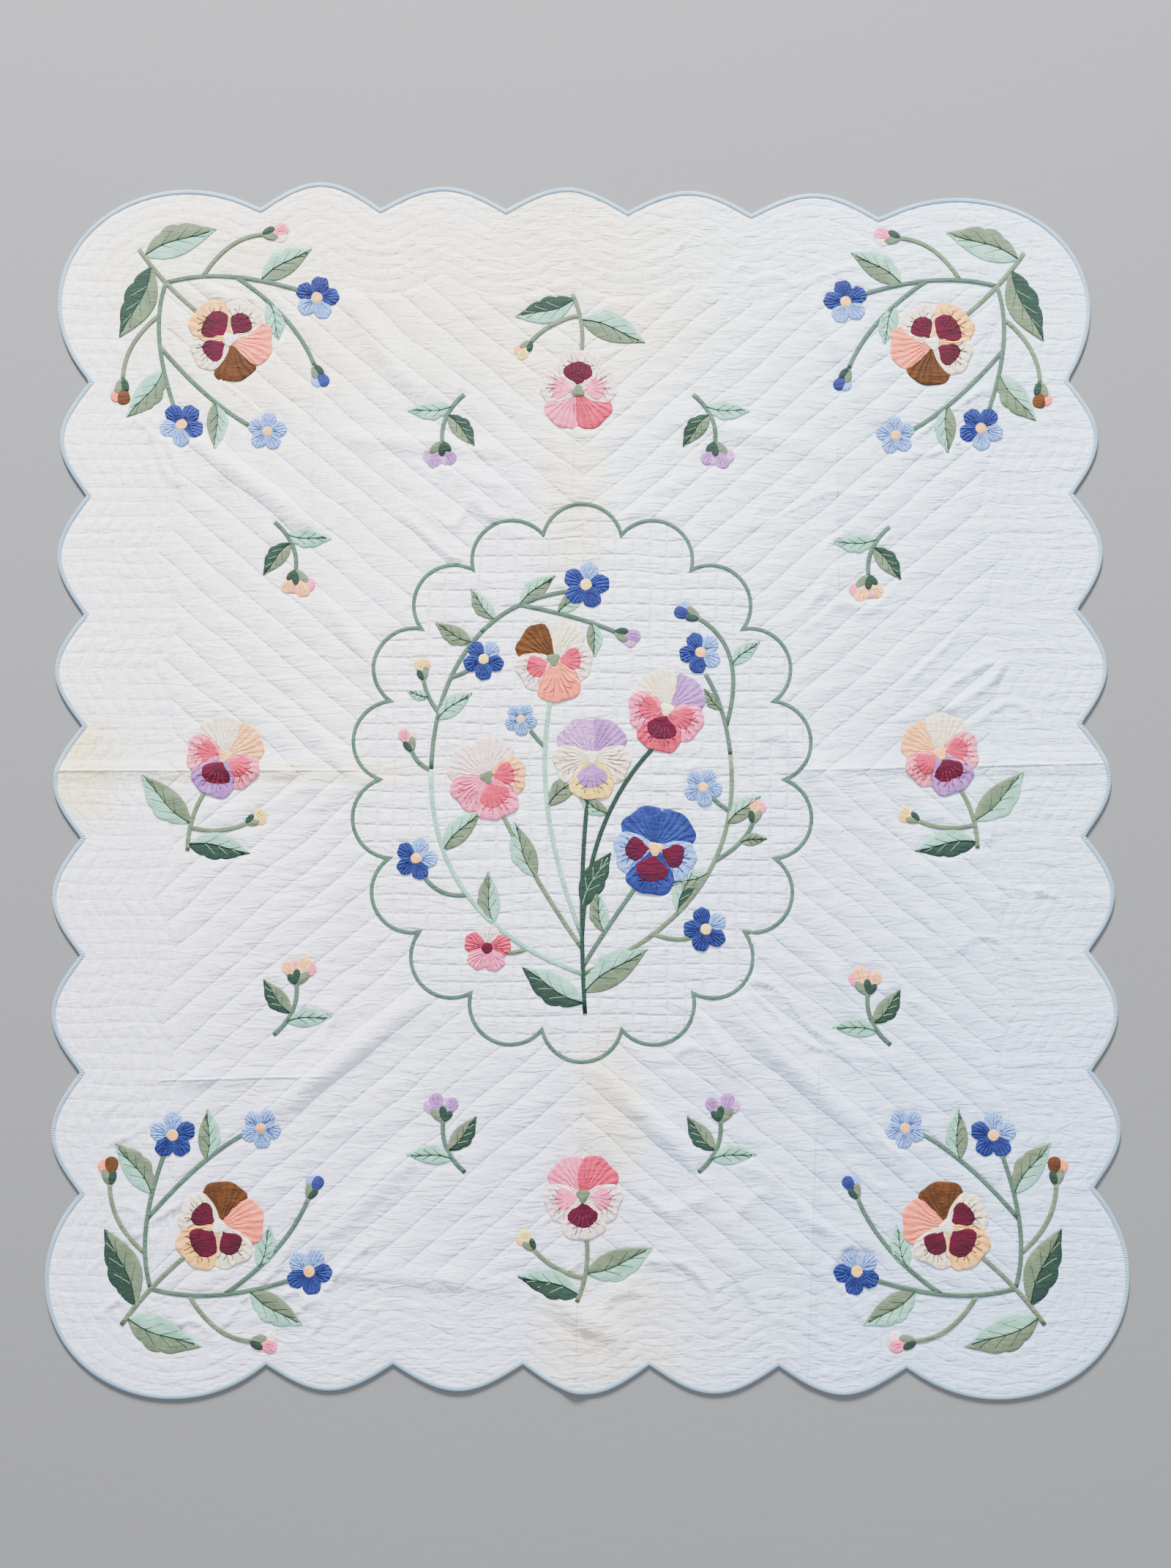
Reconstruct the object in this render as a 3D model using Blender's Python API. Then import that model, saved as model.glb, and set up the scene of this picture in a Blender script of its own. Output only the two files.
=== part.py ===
"""Applique quilt, laid out flat.

A white quilted body with a scalloped edge and a pale blue binding, a green ring of bias
tape, a bouquet inside the ring, and sprays, side flowers and sprigs around it.
Metres, +Z up, +Y towards the head of the quilt, origin under the middle of its box.
"""
import math
from collections import namedtuple

import bmesh
import bpy
from mathutils import Vector
from mathutils.bvhtree import BVHTree
from mathutils.geometry import delaunay_2d_cdt

# Thicknesses and widths of the layers
QUILT = 0.0055
CLOTH = 0.0008
GAP = 0.00032
BINDING_WIDTH = 0.0095
RING_TAPE_WIDTH = 0.0080
STEM_WIDTH = 0.0090

# The squeezed edge inside the binding, and where the quilt reaches its full thickness
EDGE_TOP = 0.0040
EDGE_UNDER = CLOTH + GAP
SEAM_TOP = 0.0046
SEAM_UNDER = 0.00078
FULL_INSET = 0.030

# Points along one scallop, and the spacing of the points inside
SCALLOP_STEPS = 5
CORNER_STEPS = 11
BASE_SPACING = 0.240
FOLD_SPACING = 0.120
FOLD_CLEAR = 0.080
POINT_CLEAR = 0.020
MERGE = 0.00002
FLAT_ENOUGH = 0.0001
GRID_REACH = 1.3

# How round the corner scallops, the ends of folds, the petals and the leaves' bellies are
CORNER_ROUND = 0.7
FOLD_FADE = 0.6
PETAL_ROUND = 0.7
LEAF_BELLY = 0.85

Side = namedtuple("Side", "start end bow widths rises")
SIDES = (
    Side((-0.624, -1.166), (0.638, -1.172), -0.003,
         (0.250, 0.256, 0.249, 0.255, 0.252), (0.050, 0.051, 0.057, 0.054, 0.053)),
    Side((1.016, -0.821), (0.999, 0.813), 0.005,
         (0.230, 0.237, 0.231, 0.228, 0.234, 0.239, 0.235), (0.056,) * 7),
    Side((0.612, 1.159), (-0.668, 1.179), 0.005,
         (0.263, 0.256, 0.252, 0.260, 0.249), (0.047, 0.046, 0.048, 0.047, 0.055)),
    Side((-1.016, 0.810), (-0.999, -0.833), 0.006,
         (0.237, 0.245, 0.228, 0.227, 0.235, 0.233, 0.238), (0.057,) * 7),
)

# The big scallop that follows each side: how full it is, and which way it leans
Corner = namedtuple("Corner", "fullness lean")
CORNERS = (Corner(0.94, -0.035), Corner(0.84, 0.050), Corner(0.89, -0.040), Corner(0.96, 0.040))

# Soft folds left in the cloth: centre line, half width and height
Fold = namedtuple("Fold", "x0 y0 x1 y1 half height")
FOLDS = (
    Fold(-0.02, 1.32, -0.02, 0.50, 0.030, 0.0045),
    Fold(0.00, -0.52, -0.02, -1.40, 0.034, 0.0065),
    Fold(-1.25, 0.01, -0.42, 0.01, 0.030, 0.0050),
    Fold(0.42, 0.01, 1.25, 0.03, 0.030, 0.0045),
    Fold(-0.56, 1.05, -0.55, 0.50, 0.028, 0.0050),
    Fold(0.52, 0.70, 0.52, 0.34, 0.028, 0.0050),
    Fold(0.47, -0.55, 0.44, -1.22, 0.030, 0.0055),
    Fold(-0.86, -0.61, -0.50, -0.60, 0.030, 0.0040),
    Fold(-0.50, 1.00, -0.33, 0.78, 0.040, 0.0080),
    Fold(-0.84, 0.72, -0.52, 0.49, 0.040, 0.0080),
    Fold(-0.52, 0.37, -0.40, 0.18, 0.036, 0.0070),
    Fold(-0.66, -0.70, -0.30, -0.43, 0.045, 0.0110),
    Fold(-0.54, -0.94, -0.31, -0.73, 0.040, 0.0090),
    Fold(0.26, -0.42, 0.64, -0.79, 0.045, 0.0120),
    Fold(0.02, -0.58, 0.24, -0.78, 0.040, 0.0090),
    Fold(0.62, 0.71, 0.48, 0.98, 0.038, 0.0070),
    Fold(0.37, 0.12, 0.54, -0.07, 0.036, 0.0070),
    Fold(-0.08, -1.02, 0.09, -1.13, 0.038, 0.0090),
    Fold(-0.50, -0.98, -0.13, -1.01, 0.034, 0.0065),
    Fold(-0.53, 0.70, -0.10, 0.66, 0.032, 0.0045),
    Fold(0.12, 0.75, 0.52, 0.66, 0.032, 0.0045),
    Fold(-0.38, -1.26, -0.10, -1.27, 0.070, 0.0070),
    Fold(0.38, -1.27, 0.68, -1.26, 0.070, 0.0060),
    Fold(-1.13, -0.70, -1.13, -1.00, 0.070, 0.0060),
    Fold(-1.14, 0.13, -1.13, -0.12, 0.070, 0.0050),
)

# The ring: a scalloped oval
RING_CENTRE = (0.0, -0.008)
RING_HALF = (0.409, 0.511)
RING_SCALLOPS = 18
RING_RISE = 0.064
RING_FINE = 3600
RING_STEPS = 5

# Motifs are drawn with +Y up their stem. A stem, leaf or bud starts on an earlier stem,
# at a share of its length; the first stem starts at the motif's foot.
Stem = namedtuple("Stem", "on share bend_x bend_y x y")
Leaf = namedtuple("Leaf", "on share heading length width")
Bud = namedtuple("Bud", "on heading length")
Flower = namedtuple("Flower", "kind x y turn size")
Motif = namedtuple("Motif", "foot stems leaves buds flowers")
Place = namedtuple("Place", "name x y turn flip")

SPRAY = Motif(
    foot=(0.000, -0.270),
    stems=(
        Stem(None, 0.0, 0.020, -0.160, 0.000, -0.040),
        Stem(0, 0.40, -0.100, -0.120, -0.178, 0.035),
        Stem(0, 0.40, 0.110, -0.130, 0.184, 0.030),
        Stem(2, 0.55, 0.125, 0.060, 0.096, 0.160),
        Stem(1, 0.55, -0.130, 0.060, -0.084, 0.165),
        Stem(1, 0.30, -0.150, -0.160, -0.205, -0.110),
        Stem(2, 0.30, 0.160, -0.150, 0.215, -0.095),
    ),
    leaves=(
        Leaf(0, 0.08, 156, 0.160, 0.066),
        Leaf(0, 0.20, 22, 0.165, 0.066),
        Leaf(1, 0.72, 168, 0.125, 0.054),
        Leaf(2, 0.72, 8, 0.125, 0.054),
        Leaf(4, 0.30, 60, 0.085, 0.040),
        Leaf(3, 0.60, 46, 0.100, 0.044),
    ),
    buds=(Bud(5, 140, 0.058), Bud(6, 38, 0.058), Bud(4, 66, 0.052)),
    flowers=(
        Flower("pansy", 0.000, 0.000, 0, 0.092),
        Flower("blue", -0.188, 0.064, 15, 0.046),
        Flower("blue", 0.194, 0.058, -10, 0.046),
        Flower("pale", 0.080, 0.192, 20, 0.040),
    ),
)

SIDE_SPRAY = Motif(
    foot=(0.012, -0.205),
    stems=(
        Stem(None, 0.0, -0.022, -0.130, 0.000, -0.050),
        Stem(0, 0.30, 0.060, -0.150, 0.098, -0.105),
    ),
    leaves=(Leaf(0, 0.35, 160, 0.142, 0.060), Leaf(0, 0.08, 16, 0.128, 0.054)),
    buds=(Bud(1, 48, 0.048),),
    flowers=(Flower("pansy", 0.000, 0.000, 0, 0.085),),
)

SPRIG = Motif(
    foot=(-0.012, -0.078),
    stems=(Stem(None, 0.0, 0.022, -0.020, -0.006, 0.034),),
    leaves=(Leaf(0, 0.45, 150, 0.088, 0.040), Leaf(0, 0.28, 26, 0.092, 0.038)),
    buds=(Bud(0, 78, 0.062), Bud(0, 128, 0.054)),
    flowers=(),
)

BOUQUET = Motif(
    foot=(0.006, -0.470),
    stems=(
        Stem(None, 0.0, -0.010, -0.200, 0.015, -0.010),
        Stem(0, 0.30, -0.110, -0.040, -0.060, 0.180),
        Stem(0, 0.30, 0.010, -0.060, 0.160, 0.080),
        Stem(0, 0.25, -0.100, -0.200, -0.170, -0.050),
        Stem(0, 0.18, 0.060, -0.280, 0.135, -0.180),
        Stem(0, 0.15, -0.310, -0.280, -0.305, 0.020),
        Stem(5, 1.00, -0.300, 0.200, -0.205, 0.300),
        Stem(6, 1.00, -0.140, 0.370, -0.025, 0.385),
        Stem(0, 0.15, 0.330, -0.250, 0.300, 0.050),
        Stem(8, 1.00, 0.290, 0.150, 0.250, 0.215),
        Stem(9, 0.30, 0.340, 0.270, 0.235, 0.330),
        Stem(6, 0.60, -0.240, 0.215, -0.215, 0.232),
        Stem(8, 0.80, 0.275, -0.050, 0.262, -0.035),
        Stem(5, 0.50, -0.290, -0.240, -0.322, -0.190),
        Stem(8, 0.25, 0.190, -0.330, 0.225, -0.315),
        Stem(5, 1.00, -0.335, 0.030, -0.345, 0.060),
        Stem(5, 0.20, -0.130, -0.350, -0.155, -0.348),
        Stem(1, 0.75, -0.090, 0.080, -0.105, 0.100),
    ),
    leaves=(
        Leaf(0, 0.04, 150, 0.145, 0.060),
        Leaf(0, 0.08, 34, 0.155, 0.064),
        Leaf(0, 0.42, 62, 0.125, 0.050),
        Leaf(3, 0.50, 112, 0.120, 0.050),
        Leaf(1, 0.50, 42, 0.100, 0.042),
        Leaf(5, 0.35, 96, 0.105, 0.044),
        Leaf(5, 0.70, 46, 0.110, 0.046),
        Leaf(6, 0.30, 38, 0.090, 0.040),
        Leaf(6, 0.90, 152, 0.085, 0.038),
        Leaf(7, 0.50, 40, 0.095, 0.040),
        Leaf(8, 0.75, 40, 0.088, 0.040),
        Leaf(8, 0.55, 196, 0.085, 0.038),
        Leaf(8, 0.36, 70, 0.095, 0.042),
        Leaf(9, 0.50, 130, 0.055, 0.026),
    ),
    buds=(Bud(10, 152, 0.056), Bud(15, 106, 0.052)),
    flowers=(
        Flower("pansy", -0.058, 0.244, 12, 0.086),
        Flower("pansy", 0.172, 0.142, -16, 0.086),
        Flower("pansy", 0.020, 0.046, 0, 0.086),
        Flower("pansy", -0.192, 0.004, 22, 0.086),
        Flower("pansy", 0.148, -0.140, -10, 0.092),
        Flower("pink", -0.190, -0.340, 30, 0.048),
        Flower("blue", -0.200, 0.244, 0, 0.042),
        Flower("blue", 0.008, 0.397, 24, 0.048),
        Flower("blue", 0.240, 0.258, -12, 0.043),
        Flower("pale", 0.244, -0.016, 8, 0.039),
        Flower("blue", -0.334, -0.160, 18, 0.043),
        Flower("blue", 0.248, -0.302, -20, 0.045),
        Flower("pale", -0.124, 0.122, 5, 0.033),
    ),
)

SPRAY_PLACES = (
    Place("spray_head_left", -0.725, 0.900, -135, False),
    Place("spray_head_right", 0.722, 0.892, 135, True),
    Place("spray_foot_right", 0.722, -0.896, 45, False),
    Place("spray_foot_left", -0.718, -0.896, -45, True),
)
SIDE_PLACES = (
    Place("side_head", -0.008, 0.790, 180, False),
    Place("side_foot", 0.002, -0.835, 0, True),
    Place("side_left", -0.722, 0.040, -24, False),
    Place("side_right", 0.724, 0.045, 24, True),
)
SPRIG_PLACES = (
    Place("sprig_head_left", -0.280, 0.716, 160, False),
    Place("sprig_head_right", 0.266, 0.716, -160, True),
    Place("sprig_left_upper", -0.590, 0.450, 200, True),
    Place("sprig_right_upper", 0.590, 0.440, -200, False),
    Place("sprig_left_lower", -0.578, -0.450, -20, False),
    Place("sprig_right_lower", 0.578, -0.470, 20, True),
    Place("sprig_foot_left", -0.270, -0.721, 20, True),
    Place("sprig_foot_right", 0.269, -0.721, -20, False),
)
BOUQUET_PLACE = Place("bouquet", RING_CENTRE[0], RING_CENTRE[1], 0, False)

# Points on the forms of a motif
STEM_STEPS = 4
LEAF_STEPS = 4
BUD_STEPS = 8
PETAL_STEPS = {"pansy": 6, "blue": 4, "pale": 4, "pink": 4}
PETAL_DEPTH = {"pansy": 0.22, "blue": 0.34, "pale": 0.34, "pink": 0.30}
EVEN_PETALS = (1.0, 1.0, 1.0, 1.0, 1.0)
PANSY_PETALS = (1.04, 0.93, 0.98, 0.98, 0.93)
FLOWER_CLEAR = 0.0010

COLOURS = {
    "white cotton": (0.82, 0.81, 0.84, 1.0),
    "pale blue binding": (0.42, 0.56, 0.66, 1.0),
    "green tape": (0.12, 0.25, 0.16, 1.0),
    "greenery": (0.20, 0.34, 0.24, 1.0),
    "pansy": (0.80, 0.42, 0.40, 1.0),
    "blue": (0.07, 0.11, 0.42, 1.0),
    "pale": (0.38, 0.54, 0.85, 1.0),
    "pink": (0.78, 0.30, 0.40, 1.0),
}
ROUGHNESS = 0.9


def clear_scene():
    """Take every object out of the scene."""
    for item in list(bpy.data.objects):
        bpy.data.objects.remove(item, do_unlink=True)


def material(name):
    """A plain cloth material in one of the named colours."""
    found = bpy.data.materials.get(name)
    if found:
        return found
    made = bpy.data.materials.new(name)
    made.use_nodes = True
    shader = made.node_tree.nodes["Principled BSDF"]
    shader.inputs["Base Color"].default_value = COLOURS[name]
    shader.inputs["Roughness"].default_value = ROUGHNESS
    shader.inputs["Metallic"].default_value = 0.0
    return made


def piece(name, shape, cloth):
    """One node: an object that holds the shape and its cloth."""
    mesh = bpy.data.meshes.new(name)
    shape.to_mesh(mesh)
    shape.free()
    mesh.materials.append(material(cloth))
    made = bpy.data.objects.new(name, mesh)
    bpy.context.scene.collection.objects.link(made)
    return made


def outward(start, end):
    """Unit vector to the right of a line, which is out of a loop that runs anticlockwise."""
    way = (end - start).normalized()
    return Vector((way.y, -way.x))


def turned(point, degrees):
    """A flat point turned about the origin."""
    angle = math.radians(degrees)
    across, up = math.cos(angle), math.sin(angle)
    return Vector((point.x * across - point.y * up, point.x * up + point.y * across))


def side_notches(side):
    """Notches of one side, spaced by its scallops and bowed out in the middle."""
    start, end = Vector(side.start), Vector(side.end)
    out = outward(start, end)
    notches = [start]
    run = 0.0
    for width in side.widths:
        run += width
        share = run / sum(side.widths)
        notches.append(start.lerp(end, share) + out * side.bow * math.sin(math.pi * share))
    return notches


def scallop(start, end, rise, steps):
    """Points of one scallop, without its last notch."""
    out = outward(start, end)
    shares = [step / steps for step in range(steps)]
    return [start.lerp(end, t) + out * rise * math.sin(math.pi * t) for t in shares]


def corner_scallop(start, end, corner):
    """Points of a big corner scallop, nearly half a circle, without its last notch."""
    middle = (start + end) / 2
    points = []
    for step in range(CORNER_STEPS):
        angle = math.pi * step / CORNER_STEPS
        swell = 1 - (1 - corner.fullness) * math.sin(angle) ** CORNER_ROUND
        swell += corner.lean * math.sin(2 * angle)
        points.append(middle + turned(start - middle, math.degrees(angle)) * swell)
    return points


def quilt_outline():
    """The scalloped edge, anticlockwise from the foot's first notch, about its box's middle."""
    notches = [side_notches(side) for side in SIDES]
    points = []
    for index, side in enumerate(SIDES):
        own = notches[index]
        for first, last, rise in zip(own, own[1:], side.rises):
            points += scallop(first, last, rise, SCALLOP_STEPS)
        points += corner_scallop(own[-1], notches[(index + 1) % len(SIDES)][0], CORNERS[index])
    middle_x = (max(p.x for p in points) + min(p.x for p in points)) / 2
    middle_y = (max(p.y for p in points) + min(p.y for p in points)) / 2
    return [p - Vector((middle_x, middle_y)) for p in points]


def mitres(loop):
    """For each point of a loop, how far it moves inwards for each metre of inset."""
    moves = []
    for before, here, after in zip(loop[-1:] + loop[:-1], loop, loop[1:] + loop[:1]):
        first, second = -outward(before, here), -outward(here, after)
        moves.append((first + second) / (1 + first.dot(second)))
    return moves


def inset(loop, distance):
    """A loop moved inwards with mitred corners."""
    return [point + move * distance for point, move in zip(loop, mitres(loop))]


def inside(point, loop):
    """Whether a flat point lies in a loop."""
    crossings = 0
    for a, b in zip(loop, loop[1:] + loop[:1]):
        if (a.y > point.y) != (b.y > point.y):
            crossings += point.x < a.x + (b.x - a.x) * (point.y - a.y) / (b.y - a.y)
    return crossings % 2 == 1


def ridge(fold, point):
    """Height that one fold gives at a point: rounded across, fading at its ends."""
    start, end = Vector((fold.x0, fold.y0)), Vector((fold.x1, fold.y1))
    along = end - start
    share = (point - start).dot(along) / along.length_squared
    away = abs((point - start).cross(along)) / along.length
    if not 0 < share < 1 or away >= fold.half:
        return 0.0
    across = math.cos(math.pi / 2 * away / fold.half) ** 2
    return fold.height * across * math.sin(math.pi * share) ** FOLD_FADE


def lift(point):
    """Height of the quilt's underside above the surface."""
    return sum(ridge(fold, point) for fold in FOLDS)


def fold_points():
    """Points on the crest and both feet of every fold."""
    points = []
    for fold in FOLDS:
        start, end = Vector((fold.x0, fold.y0)), Vector((fold.x1, fold.y1))
        out = outward(start, end) * fold.half
        steps = max(3, round((end - start).length / FOLD_SPACING))
        for step in range(steps + 1):
            crest = start.lerp(end, step / steps)
            points += [crest, crest + out, crest - out]
    return points


def apart(points, taken, distance):
    """The points that keep a distance from those already taken, and from each other."""
    kept = []
    for point in points:
        if all((point - other).length > distance for other in taken + kept):
            kept.append(point)
    return kept


def base_points():
    """A staggered grid over the quilt."""
    half = int(GRID_REACH / BASE_SPACING)
    rows = range(-half, half + 1)
    return [
        Vector(((column + 0.5 * (row % 2)) * BASE_SPACING, row * BASE_SPACING))
        for row in rows
        for column in rows
    ]


def inner_points(seam, full):
    """Points inside the seam of the binding: where it is full, on folds, and in between."""
    limit = inset(seam, FULL_INSET)
    folds = [p for p in fold_points() if inside(p, limit)]
    folds = apart(folds, full, POINT_CLEAR)
    base = [p for p in base_points() if inside(p, limit)]
    return full + folds + apart(base, full + folds, FOLD_CLEAR)


def ring_of(shape, loop, heights):
    """Vertices of a loop at the given heights."""
    return [shape.verts.new((p.x, p.y, z)) for p, z in zip(loop, heights)]


def strip(shape, first, second):
    """Faces between two rings, each quad cut along the same diagonal."""
    for i in range(len(first)):
        j = (i + 1) % len(first)
        shape.faces.new((first[i], first[j], second[j]))
        shape.faces.new((first[i], second[j], second[i]))


def quilt_body(outline):
    """The quilted body, and its top as flat points, triangles and heights."""
    lifts = [lift(p) for p in outline]
    edge, seam = inset(outline, CLOTH + GAP), inset(outline, BINDING_WIDTH)
    inner = inner_points(seam, inset(outline, FULL_INSET)[::2])
    count = len(seam)
    points, _, faces, origins, _, sources = delaunay_2d_cdt(
        seam + inner, [], [list(range(count))], 1, MERGE, True)
    faces = [face for face, source in zip(faces, sources) if source]
    order = [ids[0] for ids in origins]
    unders = [lifts[k] + SEAM_UNDER if k < count else lift(p) for k, p in zip(order, points)]
    tops = [lifts[k] + SEAM_TOP if k < count else lift(p) + QUILT for k, p in zip(order, points)]
    shape = bmesh.new()
    upper = ring_of(shape, points, tops)
    lower = ring_of(shape, points, unders)
    for face in faces:
        shape.faces.new([upper[i] for i in face])
        shape.faces.new([lower[i] for i in reversed(face)])
    place = {k: i for i, k in enumerate(order)}
    seam_top = [upper[place[k]] for k in range(count)]
    seam_under = [lower[place[k]] for k in range(count)]
    edge_top = ring_of(shape, edge, [h + EDGE_TOP for h in lifts])
    edge_under = ring_of(shape, edge, [h + EDGE_UNDER for h in lifts])
    strip(shape, edge_top, seam_top)
    strip(shape, edge_under, edge_top)
    strip(shape, seam_under, edge_under)
    piece("quilt_body", shape, "white cotton")
    return points, faces, tops


def binding(outline):
    """The pale blue strip that wraps the edge, from seam to seam."""
    lifts = [lift(p) for p in outline]
    section = (
        (BINDING_WIDTH, SEAM_TOP + GAP + CLOTH),
        (BINDING_WIDTH, SEAM_TOP + GAP),
        (CLOTH, EDGE_TOP + GAP),
        (CLOTH, CLOTH),
        (BINDING_WIDTH, SEAM_UNDER - GAP),
        (BINDING_WIDTH, 0.0),
        (0.0, 0.0),
        (0.0, EDGE_TOP + GAP + CLOTH),
    )
    shape = bmesh.new()
    rings = []
    for depth, height in section:
        rings.append(ring_of(shape, inset(outline, depth), [h + height for h in lifts]))
    for first, second in zip(rings, rings[1:] + rings[:1]):
        strip(shape, first, second)
    piece("binding", shape, "pale blue binding")


def bent_edges(corners, faces):
    """Edges between triangles that don't lie in one plane."""
    normals = {}
    for a, b, c in faces:
        normal = (corners[b] - corners[a]).cross(corners[c] - corners[a]).normalized()
        for edge in ((a, b), (b, c), (c, a)):
            normals.setdefault(tuple(sorted(edge)), []).append(normal)
    return sorted(e for e, n in normals.items() if (n[0] - n[-1]).length > FLAT_ENOUGH)


class Ground:
    """The top of the quilted body, on which patches are laid."""

    def __init__(self, points, faces, heights):
        corners = [Vector((p.x, p.y, z)) for p, z in zip(points, heights)]
        self.tree = BVHTree.FromPolygons(corners, faces)
        self.points = points
        self.edges = bent_edges(corners, faces)

    def height(self, point):
        """Height of the top at a flat point."""
        hit = self.tree.ray_cast(Vector((point.x, point.y, 1.0)), Vector((0, 0, -1)))
        return hit[0].z

    def near(self, loops):
        """Bent edges of the top that may pass under some loops, as pairs of points."""
        low_x, high_x = min(p.x for q in loops for p in q), max(p.x for q in loops for p in q)
        low_y, high_y = min(p.y for q in loops for p in q), max(p.y for q in loops for p in q)
        pairs = []
        for i, j in self.edges:
            a, b = self.points[i], self.points[j]
            beside = max(a.x, b.x) < low_x or min(a.x, b.x) > high_x
            beyond = max(a.y, b.y) < low_y or min(a.y, b.y) > high_y
            if not beside and not beyond:
                pairs.append((a, b))
        return pairs


def covered(ground, loops, cuts):
    """Triangles inside any of the loops and outside the cuts, split along the top's edges."""
    points, faces, edges = [], [], []
    for loop in loops + cuts:
        faces.append(list(range(len(points), len(points) + len(loop))))
        points += loop
    for a, b in ground.near(loops):
        edges.append((len(points), len(points) + 1))
        points += [a, b]
    flat, _, triangles, _, _, sources = delaunay_2d_cdt(points, edges, faces, 0, MERGE, True)
    own = set(range(len(loops)))
    cut = set(range(len(loops), len(loops) + len(cuts)))
    kept = [t for t, s in zip(triangles, sources) if own & set(s) and not cut & set(s)]
    return flat, kept


def patch(name, ground, loops, cloth, cuts=()):
    """A cloth patch that follows the top of the quilt."""
    flat, triangles = covered(ground, loops, list(cuts))
    used = sorted({i for t in triangles for i in t})
    base = {i: ground.height(flat[i]) + GAP for i in used}
    shape = bmesh.new()
    lower = {i: shape.verts.new((flat[i].x, flat[i].y, base[i])) for i in used}
    upper = {i: shape.verts.new((flat[i].x, flat[i].y, base[i] + CLOTH)) for i in used}
    sides = set()
    for a, b, c in triangles:
        shape.faces.new((upper[a], upper[b], upper[c]))
        shape.faces.new((lower[c], lower[b], lower[a]))
        sides |= {(a, b), (b, c), (c, a)}
    for a, b in sides:
        if (b, a) not in sides:
            shape.faces.new((lower[a], lower[b], upper[b]))
            shape.faces.new((lower[a], upper[b], upper[a]))
    piece(name, shape, cloth)


def ribbon(points, width):
    """Outline of a strip along some points."""
    ways = [(b - a).normalized() for a, b in zip(points, points[1:])]
    ways = [ways[0]] + [(a + b).normalized() for a, b in zip(ways, ways[1:])] + [ways[-1]]
    sides = [Vector((w.y, -w.x)) * width / 2 for w in ways]
    right = [p + s for p, s in zip(points, sides)]
    left = [p - s for p, s in zip(points, sides)]
    return right + left[::-1]


def bezier(start, bend, end, share):
    """Point on a single bend."""
    return start.lerp(bend, share).lerp(bend.lerp(end, share), share)


def stem_curves(motif):
    """Start, bend and end of each stem."""
    curves = []
    for stem in motif.stems:
        start = Vector(motif.foot) if stem.on is None else bezier(*curves[stem.on], stem.share)
        curves.append((start, Vector((stem.bend_x, stem.bend_y)), Vector((stem.x, stem.y))))
    return curves


def stem_outline(curve):
    """A stem of bias tape along one bend."""
    shares = [step / STEM_STEPS for step in range(STEM_STEPS + 1)]
    return ribbon([bezier(*curve, t) for t in shares], STEM_WIDTH)


def leaf_outline(leaf, curves):
    """A pointed leaf, fullest a little below its middle."""
    base = bezier(*curves[leaf.on], leaf.share)
    shares = [step / LEAF_STEPS for step in range(1, LEAF_STEPS)]
    widths = [(t, leaf.width / 2 * math.sin(math.pi * t ** LEAF_BELLY)) for t in shares]
    right = [Vector((t * leaf.length, -half)) for t, half in widths]
    left = [Vector((t * leaf.length, half)) for t, half in reversed(widths)]
    points = [Vector((0.0, 0.0))] + right + [Vector((leaf.length, 0.0))] + left
    return [turned(p, leaf.heading) + base for p in points]


def bud_outline(bud, curves):
    """A closed bud: an egg shape at the end of its stem."""
    end = curves[bud.on][-1]
    points = []
    for step in range(BUD_STEPS):
        angle = 2 * math.pi * step / BUD_STEPS
        along = bud.length * (0.42 + 0.5 * math.cos(angle))
        across = bud.length * (0.30 + 0.06 * math.cos(angle)) * math.sin(angle)
        points.append(turned(Vector((along, across)), bud.heading) + end)
    return points


def flower_outline(flower, grow=0.0):
    """A five-petalled flower, its first petal pointing down its stem."""
    petals = PANSY_PETALS if flower.kind == "pansy" else EVEN_PETALS
    depth = PETAL_DEPTH[flower.kind]
    steps = PETAL_STEPS[flower.kind]
    points = []
    for step in range(len(petals) * steps):
        share = step / steps
        bulge = abs(math.cos(math.pi * share)) ** PETAL_ROUND
        size = flower.size * petals[round(share) % len(petals)]
        reach = size * (1 - depth + depth * bulge) + grow
        spoke = turned(Vector((0.0, -reach)), 360 * share / len(petals) + flower.turn)
        points.append(spoke + Vector((flower.x, flower.y)))
    return points


def placed(loop, place):
    """A motif's loop where the motif lies, kept anticlockwise when it is flipped."""
    flip = -1 if place.flip else 1
    points = [Vector((p.x * flip, p.y)) for p in loop]
    points = [turned(p, place.turn) + Vector((place.x, place.y)) for p in points]
    return points[::-1] if place.flip else points


def lay_motif(ground, motif, place):
    """Greenery and buds as one patch, and each flower as its own."""
    curves = stem_curves(motif)
    green = [stem_outline(c) for c in curves]
    green += [leaf_outline(leaf, curves) for leaf in motif.leaves]
    green += [bud_outline(bud, curves) for bud in motif.buds]
    cuts = [flower_outline(f, FLOWER_CLEAR) for f in motif.flowers]
    green = [placed(loop, place) for loop in green]
    cuts = [placed(loop, place) for loop in cuts]
    patch(place.name + "_greenery", ground, green, "greenery", cuts)
    for number, flower in enumerate(motif.flowers, 1):
        loop = placed(flower_outline(flower), place)
        patch(f"{place.name}_{flower.kind}_{number}", ground, [loop], flower.kind)


def ring_line():
    """Centre line of the ring: equal scallops around an oval."""
    angles = [2 * math.pi * step / RING_FINE for step in range(RING_FINE + 1)]
    oval = [Vector((RING_HALF[0] * math.sin(a), RING_HALF[1] * math.cos(a))) for a in angles]
    runs = [0.0]
    for a, b in zip(oval, oval[1:]):
        runs.append(runs[-1] + (b - a).length)
    pitch = runs[-1] / RING_SCALLOPS
    notches = []
    for number in range(RING_SCALLOPS):
        wanted = (number + 0.5) * pitch
        notches.append(next(p for p, run in zip(oval, runs) if run >= wanted))
    notches.reverse()
    line = []
    for first, last in zip(notches, notches[1:] + notches[:1]):
        line += round_scallop(first, last)
    return [p + Vector(RING_CENTRE) for p in line]


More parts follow.
